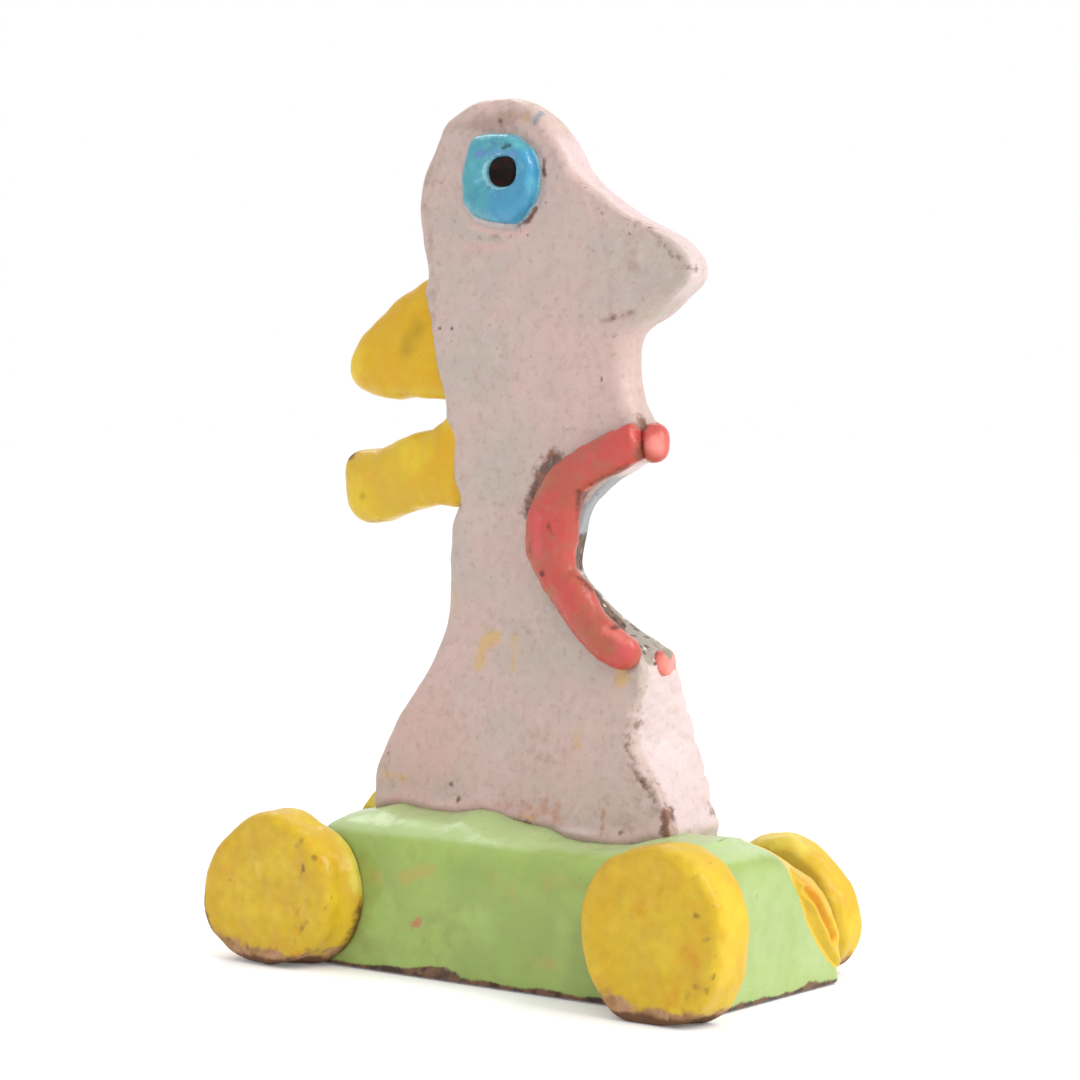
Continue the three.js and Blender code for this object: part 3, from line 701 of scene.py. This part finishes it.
def lip_marks(p):
    """Brown in the joints with the slab and along the inner edge, on the near coil's upper end deepened
    as painted shadow of the gap before the ball, dark pits, ochre where the glaze is thin, rosy
    patches, a brighter coral on the ends that face the light, and olive glaze with a ragged border
    over the lower end of the far coil."""
    x, y, z = p.T
    near = ease(-4, -5, y)
    crack = ease(5.9, 5, np.abs(y)) * ease(28, 24, x)
    # Brown on the near coil's upper end where it meets the ball: joint colour deepened as painted shadow of
    # the gap.
    crack += 0.7 * near * bell((x - 35.6) / 0.8) * ease(114, 116, z)
    crack += near * painted(
        p, (0.9, 0.8, [(19.4, 110.8), (18.6, 106), (18.2, 100.4), (17.2, 95.6)]),
        (0.7, 0.6, [(22, 112.4), (27.8, 114.6), (33, 117)]),
        (0.9, 0.7, [(19.4, 92), (23.2, 88.2), (26.4, 84.6), (30.2, 80.8)]),
    )
    pits = ease(7, 8, -y) * painted(
        p, (1.2, 10, 92.2, 0.9, 0.9), (0.6, 0.7, [(11.6, 104), (12.8, 101)]), (0.6, 14.2, 104.2, 0.6, 0.6),
        (0.5, 6.4, 97.6, 0.8, 1.6),
    )
    thin = near * painted(
        p, (0.5, 1.8, [(5.6, 99), (8.6, 88.6), (13, 86)]), (0.7, 2.2, [(6.6, 110.6), (12.8, 113.6)]),
        (0.6, 12.6, 88.6, 2.4, 2.4), (0.5, 4, [(20, 81), (32, 75)]),
    )
    rose = near * painted(
        p, (1, 1.5, [(8.6, 104.6), (9, 96.6)]), (0.4, 24, 118.6, 5, 1.6), (0.8, 33, 76.4, 2.4, 2.4))
    bright = 1.2 * bell(np.linalg.norm(p - (40.4, -7.6, 121.8), axis=1) / 3.6)
    bright += ease(-6, -3, y) * dab(p, 37, 72, 3, 3.2)
    bright += 0.45 * near * stroke(p, 1.3, [(28, 80.4), (34, 78)])
    creep = z + 1.6 * kneaded(p, 5, 39)
    olive = ease(-5, -3, y) * ease(73.4, 75.4, creep) * ease(90, 84, creep)
    return dict(crack=crack, pits=pits, thin=thin, bright=bright, rose=rose, olive=olive)


def coral_colour(tree):
    """Coral red, rosier in patches, ochre where thin, pink at the lit ends, brown in the joints."""
    return layered(tree, patchy(tree, (172, 80, 66), (184, 72, 66), 9, 0.45, 0.6), [
        ((160, 92, 74), 0.65, cloud, 4, 0.48, 0.7, 3, 0.5),
        ((196, 78, 84), 0.8, mark, "rose", 0.25, 3, 0.1, 0.9),
        ((156, 98, 66), 0.75, mark, "thin", 0.3, 2, 0.2, 0.95),
        ((232, 136, 126), 0.9, mark, "bright", 0.12, 3, 0.1, 0.9),
        ((136, 128, 112), 0.95, mark, "olive", 0.35, 1.6, 0.15, 0.9),
        ((92, 48, 34), 0.9, mark, "crack", 0.25, 1.4, 0.15, 1),
        ((96, 42, 32), 0.95, mark, "pits", 0.25, 1.2, 0.15, 1),
        ((110, 52, 44), 0.7, specks, 4, 0.3, 0.35, 0.1),
    ])


coral_glaze = fired_glaze(
    "coral_glaze", coral_colour, glossy(0.3, 0.45, 5), pooled(0.24, 3.4, 0.2), 0.3, 0.05)
for word, rows, seed, blunt in (("near", NEAR_LIP, 31, (1.4, 3.6)), ("far", FAR_LIP, 37, (2.6, 2.4))):
    lip = stretch_skin("lip_coil_" + word, shape_coil(rows, seed, blunt), lip_marks)
    set_in_place(lip, coral_glaze, "lip_" + word)

# Hair: two lumps of clay pushed onto the back rim, a rounded wedge above and a short coil
# below, both under a glossy yellow glaze that runs thin and brown at the corners.

# From the rim outwards: x, z, half height, half depth (mm).
WEDGE = [
    [-23.5, 147, 15.4, 3.6], [-28, 146.7, 15, 4.4], [-34, 145.3, 13.4, 5.2], [-40, 143.6, 11.8, 5.3],
    [-46, 141.5, 9.3, 5.1], [-50.4, 140.2, 6.9, 4.5], [-53.4, 139.4, 4.2, 3.2], [-55, 139.2, 1.8, 1.4],
]
STUB = [
    [-17.6, 118.6, 11.8, 3.9], [-22, 118.1, 11.7, 5], [-26.4, 116.5, 9.9, 5.3], [-31, 115.1, 9.1, 5.4],
    [-38, 113.7, 9, 5.6], [-45, 111.4, 8.9, 5.6], [-50, 110.9, 8.7, 5.3], [-53.8, 111.6, 7.1, 4.6],
    [-55.9, 112.2, 4, 2.6],
]


def shape_lock(rows, seed, square):
    """Oval sections along a line in the slab's plane: up by high cos a, out by deep sin a, both drawn
    towards a square by the power square, and a lump field added."""
    x, z, high, deep = spaced(rows, 120)[:, :, None]
    a = full_turn(96)[None, :]
    away = np.stack([0 * (x + a), deep * squarer(np.sin(a), square), high * squarer(np.cos(a), square)], -1)
    p = np.stack([x, 0 * x, z], -1) + away
    lift = 0.32 * kneaded(p, 12, seed) + 0.14 * kneaded(p, 4.5, seed + 1)
    return p + unit(away) * (lift * np.minimum(1, high / 5))[..., None]


# Marks that the yellow glaze reads, none of them laid yet.
NO_MARKS = dict.fromkeys(("deep", "orange", "olive", "lime", "clay", "bare"), 0)


def lock_marks(p):
    """Deep glaze on the wedge and at the stub's root, olive in the wedge's dimple and under the
    stub's end, and the clay showing dark where the glaze ran off the corners."""
    x, y, z = p.T
    near = ease(0, 2, -y)
    olive = near * painted(p, (0.68, 3, [(-31, 148.2), (-34.2, 143)]), (0.7, -48, 108.5, 1.6, 1.4))
    deep = 0.75 * ease(-54, -46, x) * ease(132, 136, z) + 0.7 * ease(-36, -24, x) * ease(130, 122, z)
    bare = painted(p, (1, -53.4, 118.2, 1.6, 1.5), (0.5, -47, 102.4, 4, 0.8), (0.4, -37, 132.6, 3, 0.6))
    return {**NO_MARKS, "deep": deep, "olive": olive, "bare": bare}


def yellow_colour(tree):
    """Egg yellow, drifting to ochre and lemon, olive where it pools, brown at pits and, along the wheels'
    bottoms, as painted contact shadow, clay where bare.
    """
    clay = patchy(tree, (150, 112, 74), (172, 132, 100), 5, 0.4, 0.6, 4, 0.6)
    return layered(tree, patchy(tree, (202, 169, 36), (196, 160, 44), 16, 0.4, 0.62), [
        ((212, 182, 46), 0.6, cloud, 10, 0.5, 0.68, 2, 0.4),
        ((206, 150, 40), 0.5, cloud, 5, 0.54, 0.74, 3, 0.2),
        ((186, 152, 62), 0.35, cloud, 2.4, 0.56, 0.76, 4, 0.9),
        ((198, 150, 12), 0.75, mark, "deep", 0.2, 4, 0.1, 0.95),
        ((206, 140, 14), 0.75, mark, "orange", 0.25, 3, 0.2, 0.9),
        ((150, 122, 22), 0.8, mark, "olive", 0.12, 3, 0.1, 1),
        ((206, 202, 96), 0.75, mark, "lime", 0.15, 4, 0.1, 0.9),
        (clay, 1, mark, "clay", 0.2, 3, 0.15, 0.85),
        # Brown at pits and bare spots; along the wheels' very bottom it is painted contact shadow.
        ((88, 58, 38), 0.9, mark, "bare", 0.25, 1.6, 0.15, 0.95),
        ((150, 106, 44), 0.6, specks, 5, 0.3, 0.45, 0.1),
        ((124, 82, 36), 0.8, specks, 12, 0.4, 0.6, 0.6),
    ])


def yellow_dull(tree):
    """Glossy glaze, dry clay."""
    return between(tree, laid(tree, "clay"), glossy(0.3, 0.46, 7)(tree), 0.8, 0.3, 0.7)


yellow_glaze = fired_glaze("yellow_glaze", yellow_colour, yellow_dull, pooled(0.24, 4, 0.25), 0.28)
for name, rows, seed, square, node in (
    ("hair_wedge", WEDGE, 41, 0.85, "hair_upper"), ("hair_stub", STUB, 43, 0.72, "hair_lower"),
):
    lock = stretch_skin(name, shape_lock(rows, seed, square), lock_marks)
    set_in_place(lock, yellow_glaze, node)

# Block: a thick brick of clay, patted square with slack corners, the far front one much rounder.
# It is glazed pale green and stood on its bare underside.

# Plan corners: x, y, radius at the foot, radius at the top (mm).
BLOCK_CORNERS = [(-48, -28.4, 5, 7), (67.4, -28.4, 5, 7), (67.8, 27, 3, 31), (-60, 27.4, 5, 9)]
BLOCK_HEIGHT = 36
# Points round each corner and along each side, ends counted.
ARC_POINTS, SIDE_POINTS = 37, 90
# Ends of the spine on which the top and the underside close: x (mm).
SPINE_ENDS = -34, 44
# Share of the height, how far the side is drawn in (mm).
BLOCK_SIDE = [
    [0, 3], [0.004, 1.5], [0.012, 0.6], [0.028, 0.3], [0.07, 0.2], [0.15, 0.1], [0.3, 0], [0.5, 0],
    [0.66, 0.1], [0.78, 0.7], [0.87, 2], [0.93, 4.2], [0.97, 7.6], [0.99, 11.5], [1, 15],
]


def corner_radius(low, high, share, inset):
    """Radius of a corner of the block: it grows from low to high with the square of the share of the
    height, shrinks as the side is drawn in, and leaves room for the corners beside it."""
    return np.minimum(np.maximum(1.5, low + (high - low) * share**2 - inset * 0.3), 47 - 2 * inset)


def block_ring(share, inset):
    """Ring of the block at one share of its height: four arcs joined by straight runs. Each corner
    of its plan is drawn in by the inset both ways, but along the block by 7 mm at most, or 15 mm at
    the far front corner."""
    spots = [
        np.array([x - math.copysign(min(inset, 7 if high < 20 else 15), x), y - math.copysign(inset, y)])
        for x, y, _, high in BLOCK_CORNERS
    ]
    arcs = []
    for i, (_, _, low, high) in enumerate(BLOCK_CORNERS):
        u, v = (unit(spots[k % 4] - spots[i]) for k in (i - 1, i + 1))
        half = math.acos(float(u @ v)) / 2
        r = corner_radius(low, high, share, inset)
        centre = spots[i] + unit(u + v) * r / math.sin(half)
        turn = math.atan2(-u[0], u[1]) + math.pi + np.linspace(0, math.pi - 2 * half, ARC_POINTS)
        arcs.append(centre + r * np.stack([np.cos(turn), np.sin(turn)], -1))
    ring = []
    for arc, following in zip(arcs, arcs[1:] + arcs[:1]):
        run = (following[0] - arc[-1]) * np.linspace(0, 1, SIDE_POINTS)[1:-1, None]
        ring += [arc, arc[-1] + run]
    ring = np.concatenate(ring)
    return np.column_stack([ring, np.full(len(ring), share * BLOCK_HEIGHT)])


def block_lumps(p):
    """How far the patted clay stands proud of the plain brick, less on the top than on the sides."""
    lumps = 0.5 * kneaded(p, 40, 51) + 0.26 * kneaded(p, 14, 52) + 0.07 * kneaded(p, 5, 53)
    return lumps * (1 - 0.6 * ease(32, 36, p[..., 2])) - 0.2


# How far the soft top rose or sank, by x: along its near edge, then along the foot of the slab (mm).
EDGE_SAG = [
    (-50, -3), (-44, -1.7), (-40, -0.8), (-36, 0), (-24, 0), (-21, 0.5), (-16, 0.2), (-10, -0.8), (3, -1.2),
    (13, -1.7), (27, -2.6), (40, -2), (60, -1),
]
FOOT_SAG = [
    (-56, -5), (-50, -4.4), (-46, -3.1), (-41.5, -1.4), (-37, -0.8), (-33, 0.2), (-30, 1), (-26, 0.3),
    (-20, 0), (-13, 0.3), (-6, 1.6), (-2, 1.3), (3, 0), (8, -0.7), (13, -1.1), (18, -2.6), (24, -3.1),
    (30, -3.3), (36, -2.7), (43, -0.8), (48, 0.2), (60, 0),
]


def settle(p):
    """Sag of the soft top: between the near edge and the foot of the slab it eases from one
    listing to the other, and towards the far front corner it falls 0.18 mm for each mm. It fades
    out down the sides."""
    x, y, z = p[..., 0], p[..., 1], p[..., 2]
    edge, foot = (np.interp(x, *np.array(rows).T) for rows in (EDGE_SAG, FOOT_SAG))
    sag = edge + (foot - edge) * ease(-26, -14, y)
    sag -= 0.18 * np.maximum(y + 6, 0) * ease(18, 44, x)
    return sag * ease(14, 34, z)


def drawn_in(ring, shares):
    """Copies of a ring shrunk to the given shares towards a spine along the middle of the block."""
    spine = np.stack([np.clip(ring[:, 0], *SPINE_ENDS), 0 * ring[:, 1], ring[:, 2]], -1)
    return spine + (ring - spine) * shares[:, None, None]


def shape_block():
    """Rings up the side and over the slack top edge, with rings drawn in over the top and under the
    foot, all moved out by the patting lumps and settled."""
    side = np.stack([block_ring(share, inset) for share, inset in spaced(BLOCK_SIDE, 110).T])
    under = drawn_in(side[0], np.linspace(0.02, 0.96, 14))
    top = drawn_in(side[-1], np.linspace(0.94, 0.02, 16))
    rings = np.concatenate([under, side, top])
    along, up = np.roll(rings, -1, 1) - np.roll(rings, 1, 1), np.gradient(rings, axis=0)
    out = unit(np.cross(along, up))
    off_ground = ease(0.5, 5, rings[..., 2])
    rings[..., 2] += settle(rings)
    return rings + (block_lumps(rings) * off_ground)[..., None] * out


# Where the luting of the far front wheel ends on the block: z, y (mm).
LUTING_EDGE = [
    (1.5, 28), (3, 25.2), (6.1, 21.1), (10, 16.2), (16.1, 11.3), (21.2, 8.8), (27, 6.4), (32.7, 6), (36, 6),
]


def green_marks(p):
    """Ochre smears, dark patches and a rust spot on the near side, bare clay along the foot, drawn near
    black as painted contact shadow, the yellow that crept over the far front corner, a thin pale line
    along the near top edge as a painted highlight, and lighter green on the top and the front as
    painted light."""
    x, y, z = p.T
    near = ease(26, 27.5, -y)
    smear = near * painted(
        p, (0.9, 1.7, [(-16, 22.6), (-8, 25)]), (0.6, -25, 22, 7, 3), (0.4, 15, 24, 9, 5),
        (0.4, -34, 26, 4, 4), (0.5, 26, 8, 9, 3), (0.5, 30, 26, 6, 3),
    )
    dark = near * painted(p, (0.6, -30, 14, 6, 12), (0.4, -4, 12, 12, 8), (0.5, 40, 14, 8, 12))
    spot = near * dab(p, -12.4, 12.4, 1.6, 1.5)
    # Bare clay at the foot, which green_colour draws near black as painted contact shadow.
    clay = ease(2.2, 0.8, z - 1.8 * bell((x + 7) / 8) * near + 0.5 * kneaded(p, 9, 57))
    past_edge = y - np.interp(z, *np.array(LUTING_EDGE).T)
    crept = ease(-1.4, 0.8, past_edge) * ease(46, 57, x + 3 * kneaded(p, 9, 59))
    # Painted highlight: a thin pale line along the near top edge.
    line = bell((z - 32.6) / 1.3) * near * ease(55, 40, np.abs(x))
    # Painted light: the top and the front drawn lighter green.
    light = np.maximum(0.55 * ease(64, 67, x), ease(30, 33.5, z))
    return dict(smear=smear, dark=dark, spot=spot, clay=clay, crept=crept, line=line, light=light)


def green_colour(tree):
    """Pale green, olive in patches, with smears, painted light on the top, the front and the near top
    edge, the crept yellow and bare clay at the foot, drawn near black as painted contact shadow.
    """
    # The foot's clay is drawn near black: bare clay darkened with painted contact shadow.
    clay = patchy(tree, (58, 36, 28), (110, 76, 54), 3, 0.4, 0.6, 4, 0.6)
    return layered(tree, patchy(tree, (147, 169, 87), (137, 158, 83), 30, 0.4, 0.6), [
        ((154, 178, 96), 0.6, cloud, 18, 0.5, 0.66, 2, 0.5),
        ((134, 146, 82), 0.35, cloud, 4, 0.5, 0.72, 4, 0.1),
        # Painted light on the top and the front.
        ((166, 186, 128), 0.9, mark, "light", 0.1, 4, 0.1, 0.9),
        ((128, 132, 76), 0.75, mark, "dark", 0.3, 4, 0.1, 0.9),
        ((172, 152, 80), 0.65, mark, "smear", 0.25, 4, 0.15, 0.95),
        # Painted highlight along the near top edge.
        ((196, 218, 156), 0.5, mark, "line", 0.3, 3, 0.3, 0.9),
        ((206, 172, 34), 1, mark, "crept", 0.12, 3, 0.3, 0.7),
        ((172, 104, 70), 0.9, mark, "spot", 0.3, 1.6, 0.2, 0.9),
        (clay, 1, mark, "clay", 0.2, 2, 0.2, 0.9),
        ((120, 108, 58), 0.6, specks, 7, 0.4, 0.5, 0.1),
    ])


green_glaze = fired_glaze(
    "pale_green_glaze", green_colour, glossy(0.24, 0.36, 12), pooled(0.2, 6, 0.15), 0.35)
block = stretch_skin("clay_block", shape_block(), green_marks)
set_in_place(block, green_glaze, "base_block")

# Wheels: four discs cut and pinched from a slab about a centimetre thick and luted to the block's
# sides, so they never turned. Yellow glaze, wiped off where they stood in the kiln.

# Middle x and z, inner and outer face y, corners of the outline (degrees, radius in mm), seed.
WHEELS = {
    "front_near": (60.6, 19.2, -28.2, -39.2, [
        (5, 19.2), (24, 19.5), (42, 19.8), (60, 19.4), (78, 19.3), (98, 18.8), (124, 18.9), (141, 18.9),
        (158, 18.8), (176, 18.7), (197, 18.8), (214, 19.2), (230, 20.3), (243, 21.2), (258, 20.2),
        (275, 19.8), (297, 20.6), (314, 20.4), (334, 19.7)], 61),
    "rear_near": (-50.2, 18.3, -28.2, -38.8, [
        (2, 20.6), (24, 20.4), (40, 19.2), (61, 17.6), (77, 17.9), (97, 17.6), (114, 16.8), (134, 16.3),
        (153, 17.4), (168, 18.7), (180, 19.7), (193, 20.7), (206, 21.2), (217, 20.8), (231, 19.8),
        (242, 19.6), (255, 18.8), (275, 18.2), (303, 19), (326, 20), (345, 20.6)], 67),
    "front_far": (47.6, 15.8, 27.4, 39, [
        (5, 17), (20, 15.8), (34, 14.9), (50, 14.6), (70, 14.9), (90, 15.8), (115, 16.4), (145, 16.8),
        (175, 17), (205, 16.8), (240, 15.8), (268, 15.9), (290, 16.8), (304, 18.6), (316, 19.8),
        (330, 19.5), (345, 18.9)], 71),
    "rear_far": (-61.2, 17.7, 27.2, 38.2, [
        (8, 18.2), (38, 17.8), (66, 17.6), (96, 18), (120, 18.8), (142, 18.8), (165, 18), (200, 17.6),
        (235, 17.6), (268, 17.8), (300, 17.6), (335, 18)], 73),
}
# About the radius of all four (mm).
WHEEL_RADIUS = 20
# Over the wheel from the inner face to the outer: share of the radius, mm off it, share of the way.
WHEEL_STEPS = [
    (0.02, 0, 0), (0.4, 0, 0), (0.8, 0, 0), (1, 0.4, 0), (1, 0, 0.1), (1, 0, 0.3), (1, 0, 0.55),
    (1, 0.1, 0.78), (1, 0.5, 0.9), (1, 1.4, 0.975), (0.985, 2.4, 1), (0.8, 2, 0.99), (0.55, 0, 0.97),
    (0.3, 0, 0.965), (0.02, 0, 0.965),
]
# Luting of each wheel: where round the rim it swells most (degrees) and by how much (mm), and how
# far the rim is rounded off towards the block (mm).
WHEEL_LUTING = {
    "front_near": (250, 1, 0.5), "rear_near": (322, 2.4, 0.5), "front_far": (60, 0.6, 5),
    "rear_far": (200, 1, 0.5),
}


def shape_wheel(x, z, inner, outer, corners, seed, luting):
    """Rings round the wheel's middle: radius = outline times share less the edge's rounding, plus the
    luting where the rim meets the block, less its rounding there; the face dishes slightly and lumps
    are added. What dips below the ground is pressed flat."""
    share, less, way = spaced(WHEEL_STEPS, 130)[:, :, None]
    angle = full_turn(200)[None, :]
    outline = pinched_outline(corners, angle[0], 9)[None, :]
    swells_at, most, rounding = luting
    swell = most * ((1 + np.cos(angle - math.radians(swells_at))) / 2) ** 2 + 0.3
    round_off = rounding * np.clip(1 - way / 0.5, 0, 1) ** 2
    r = outline * share - less + (swell * ease(0.6, 0.05, way) - round_off) * ease(0.5, 1, share)
    r = np.maximum(r, 0.1)
    y = inner + (outer - inner) * way + 0 * angle
    p = np.stack([x + r * np.cos(angle), y, z + r * np.sin(angle)], -1)
    lift = 0.4 * kneaded(p, 16, seed) + 0.2 * kneaded(p, 6, seed + 1) + 0.07 * kneaded(p, 2.6, seed + 2)
    face = ease(0.8, 0.98, way)
    p[..., 1] += math.copysign(1, outer - inner) * lift * face
    push = lift * (1 - face) * 0.8
    p[..., 0] += np.cos(angle) * push
    p[..., 2] = np.maximum(p[..., 2] + np.sin(angle) * push, 0.15)
    return p


def wheel_marks(p, mid_x, mid_z, inner, outer):
    """Bare clay at the foot, brown where glaze meets it, on the edge of the face, the back of the rim
    and in the joint with the block, dark brown along the very bottom as painted contact shadow, deeper
    glaze in the face, and the block's green running onto the rear near rim. A far wheel has olive in
    that joint instead, and lime on top."""
    x, y, z = p.T
    r = np.hypot(x - mid_x, z - mid_z)
    ahead = (x - mid_x) / WHEEL_RADIUS
    way = np.abs(y - inner) / abs(outer - inner)
    face = ease(0.5, 1, way)
    low = z + 1.2 * kneaded(p, 8, 81) - 0.5 * kneaded(p, 3, 82) - 2.4 * ease(0, -0.7, ahead)
    flank = 0.8 * bell(r - 19.6) * ease(-0.6, -0.9, ahead) * ease(20, 15, z)
    joint = 0.9 * ease(0.4 if mid_x < 0 else 0.2, 0.04, way) * ease(20, 13, z) * ease(-46, -40, x)
    joint *= ease(73, 69, x)
    edge = 0.6 * bell((way - 0.96) / 0.05) * ease(0.3, 0.7, ahead) * kneaded(p, 3, 83)
    # The last term browns the bare foot below 3 mm, fully below 1.2 mm: painted contact shadow.
    edge += 0.35 * bell((low - 3.4) / 1.6) + 0.5 * dab(p, -36.6, 11.4, 1.8, 1.4) + ease(3, 1.2, z)
    olive = 0.36 * face
    lime = 0.6 * ease(0.5, 0.2, way) * ease(14, 21, z) * ease(-38, -33, x) * ease(-20, -28, x)
    if inner > 0:
        joint = 0 * r
        olive = 1.1 * ease(0.26, 0.08, way) * ease(30, 27, z)
        lime = 0.48 * ease(24, 30, z)
    return dict(
        deep=0.4 * bell((r - 13) / 6) * face, orange=0.45 * kneaded(p, 10, 84) * face, olive=olive,
        lime=lime, clay=ease(5.6, 2, low), bare=np.maximum(np.maximum(edge, flank), joint),
    )


for word, (*spot, corners, seed) in WHEELS.items():
    rings = shape_wheel(*spot, corners, seed, WHEEL_LUTING[word])
    disc = stretch_skin("wheel_disc_" + word, rings, lambda p: wheel_marks(p, *spot))
    set_in_place(disc, yellow_glaze, "wheel_" + word)

# Luting: a thumb of wet clay dragged from the far front wheel onto the block's round corner,
# folded over once as it went, under the same yellow glaze.

# The fold, seen from the front: y, z (mm).
LUTING_FOLD = [(10.3, 24.8), (13.2, 21.8), (16.1, 17.6), (19.1, 14), (21, 11)]
# Where it ends along the far side, and its lowest and highest level (mm).
LUTING_END_X = 44
LUTING_LOW, LUTING_HIGH = 2, 34.6


def shape_luting():
    """Level rings. The outer part of a ring follows the block's section, from the edge on its front
    round the corner arc and along its far side, and stands proud of it by a smooth swell; the
    inner part comes back 4 mm inside the block. The fold is a groove with a ridge on either side."""
    z = np.linspace(LUTING_LOW, LUTING_HIGH, 150)[:, None]
    share = z / BLOCK_HEIGHT
    inset = np.interp(share, *np.array(BLOCK_SIDE).T)
    corner_x, corner_y, low, high = BLOCK_CORNERS[2]
    front, side = corner_x - inset, corner_y - inset
    r = corner_radius(low, high, share, inset)
    to_edge = np.interp(z, *np.array(LUTING_EDGE).T) - (side - r)
    start = np.where(to_edge < 0, to_edge, r * np.arcsin(np.clip(to_edge / r, 0, 1)))
    end = r * np.pi / 2 + front - r - LUTING_END_X
    from_edge = (end - start) * np.linspace(0, 1, 130)[None, :]
    run = start + from_edge
    turn = np.clip(run / r, 0, np.pi / 2)
    x = front - r + r * np.cos(turn) - np.maximum(run - r * np.pi / 2, 0)
    y = side - r + r * np.sin(turn) + np.minimum(run, 0)
    p = np.stack([x, y, z + 0 * x], -1)
    out = np.stack([np.cos(turn), np.sin(turn), 0 * turn], -1)
    fold = off_line(p[..., [1, 0, 2]], LUTING_FOLD)
    p[..., 2] += settle(p)
    swell = 1.3 * ease(0, 3.4, from_edge) - 0.35 + 0.6 * bell((fold - 1.8) / 0.9) - 0.9 * bell(fold / 0.8)
    swell = (swell + 0.2 * kneaded(p, 7, 91)) * ease(33, 27, z) * ease(1.5, 4, z)
    swell += block_lumps(p) - 1.6 * ease(29, 34, z) - 0.8 * ease(4, 2, z)
    return np.concatenate([p + swell[..., None] * out, (p - 4 * out)[:, ::-1]], 1)


def luting_marks(p):
    """Olive glaze pooled where the luting meets the wheel, orange in the fold, a rubbed spot above."""
    from_front = p[:, [1, 0, 2]]
    olive = 1.3 * ease(23.4, 26, p[:, 1]) * ease(4, 8, p[:, 2]) * ease(34, 31, p[:, 2])
    spot = painted(from_front, (1, 7, 23.4, 0.7, 0.7), (0.5, 8.4, 27, 0.6, 1.6))
    return {**NO_MARKS, "olive": olive, "orange": stroke(from_front, 1.5, LUTING_FOLD), "bare": spot}


luting = stretch_skin("luting_smear", shape_luting(), luting_marks)
set_in_place(luting, yellow_glaze, "wheel_front_far")

# Studio: a white floor, soft white light all round, one large lamp high in front and a weaker one
# behind, and a camera where the photograph was taken.

# Metres: how far the floor reaches each way, and the middle of the figure.
FLOOR_REACH = 6
FIGURE_MIDDLE = (0, 0, 0.1)
floor_corners = [(x * FLOOR_REACH, y * FLOOR_REACH, 0) for x, y in ((-1, -1), (1, -1), (1, 1), (-1, 1))]
floor_mesh = bpy.data.meshes.new("studio_floor")
floor_mesh.from_pydata(floor_corners, [], [(0, 1, 2, 3)])
floor = bpy.data.objects.new("studio_floor", floor_mesh)
bpy.context.scene.collection.objects.link(floor)
white = bpy.data.materials.new("white_floor")
white.use_nodes = True
paper = white.node_tree.nodes["Principled BSDF"].inputs
paper["Base Color"].default_value = (0.92, 0.92, 0.92, 1)
paper["Roughness"].default_value = 0.9
paper["Emission Color"].default_value = (1, 1, 1, 1)
paper["Emission Strength"].default_value = 0.12
floor_mesh.materials.append(white)

world = bpy.data.worlds.new("studio_light")
world.use_nodes = True
sky = world.node_tree.nodes["Background"]
sky.inputs["Color"].default_value = (1, 1, 1, 1)
sky.inputs["Strength"].default_value = 1.0
bpy.context.scene.world = world


def hang_lamp(name, spot, size, power):
    """Square lamp at spot, turned to face the middle of the figure."""
    lamp = bpy.data.objects.new(name, bpy.data.lights.new(name, "AREA"))
    bpy.context.scene.collection.objects.link(lamp)
    lamp.data.size, lamp.data.energy = size, power
    x, y, z = np.array(FIGURE_MIDDLE) - spot
    lamp.location = spot
    lamp.rotation_euler = (math.atan2(math.hypot(x, y), -z), 0, math.atan2(-x, y))


hang_lamp("key_lamp", (1.3, 0.1, 1.15), 0.9, 19)
hang_lamp("back_lamp", (-0.75, 0.5, 1.1), 0.7, 5)

# Where the camera stands (metres), and how many degrees it is turned round from the near side and
# tilted down.
CAMERA_SPOT = (0.43796, -0.55845, 0.13149)
CAMERA_ROUND, CAMERA_DOWN = 38, 2.607
camera = bpy.data.objects.new("camera", bpy.data.cameras.new("camera"))
bpy.context.scene.collection.objects.link(camera)
camera.location = CAMERA_SPOT
camera.rotation_euler = (math.radians(90 - CAMERA_DOWN), 0, math.radians(CAMERA_ROUND))
camera.data.sensor_width = 36
camera.data.lens = 102.5
camera.data.clip_start = 0.01
bpy.context.scene.camera = camera
bpy.context.scene.view_settings.view_transform = "Standard"
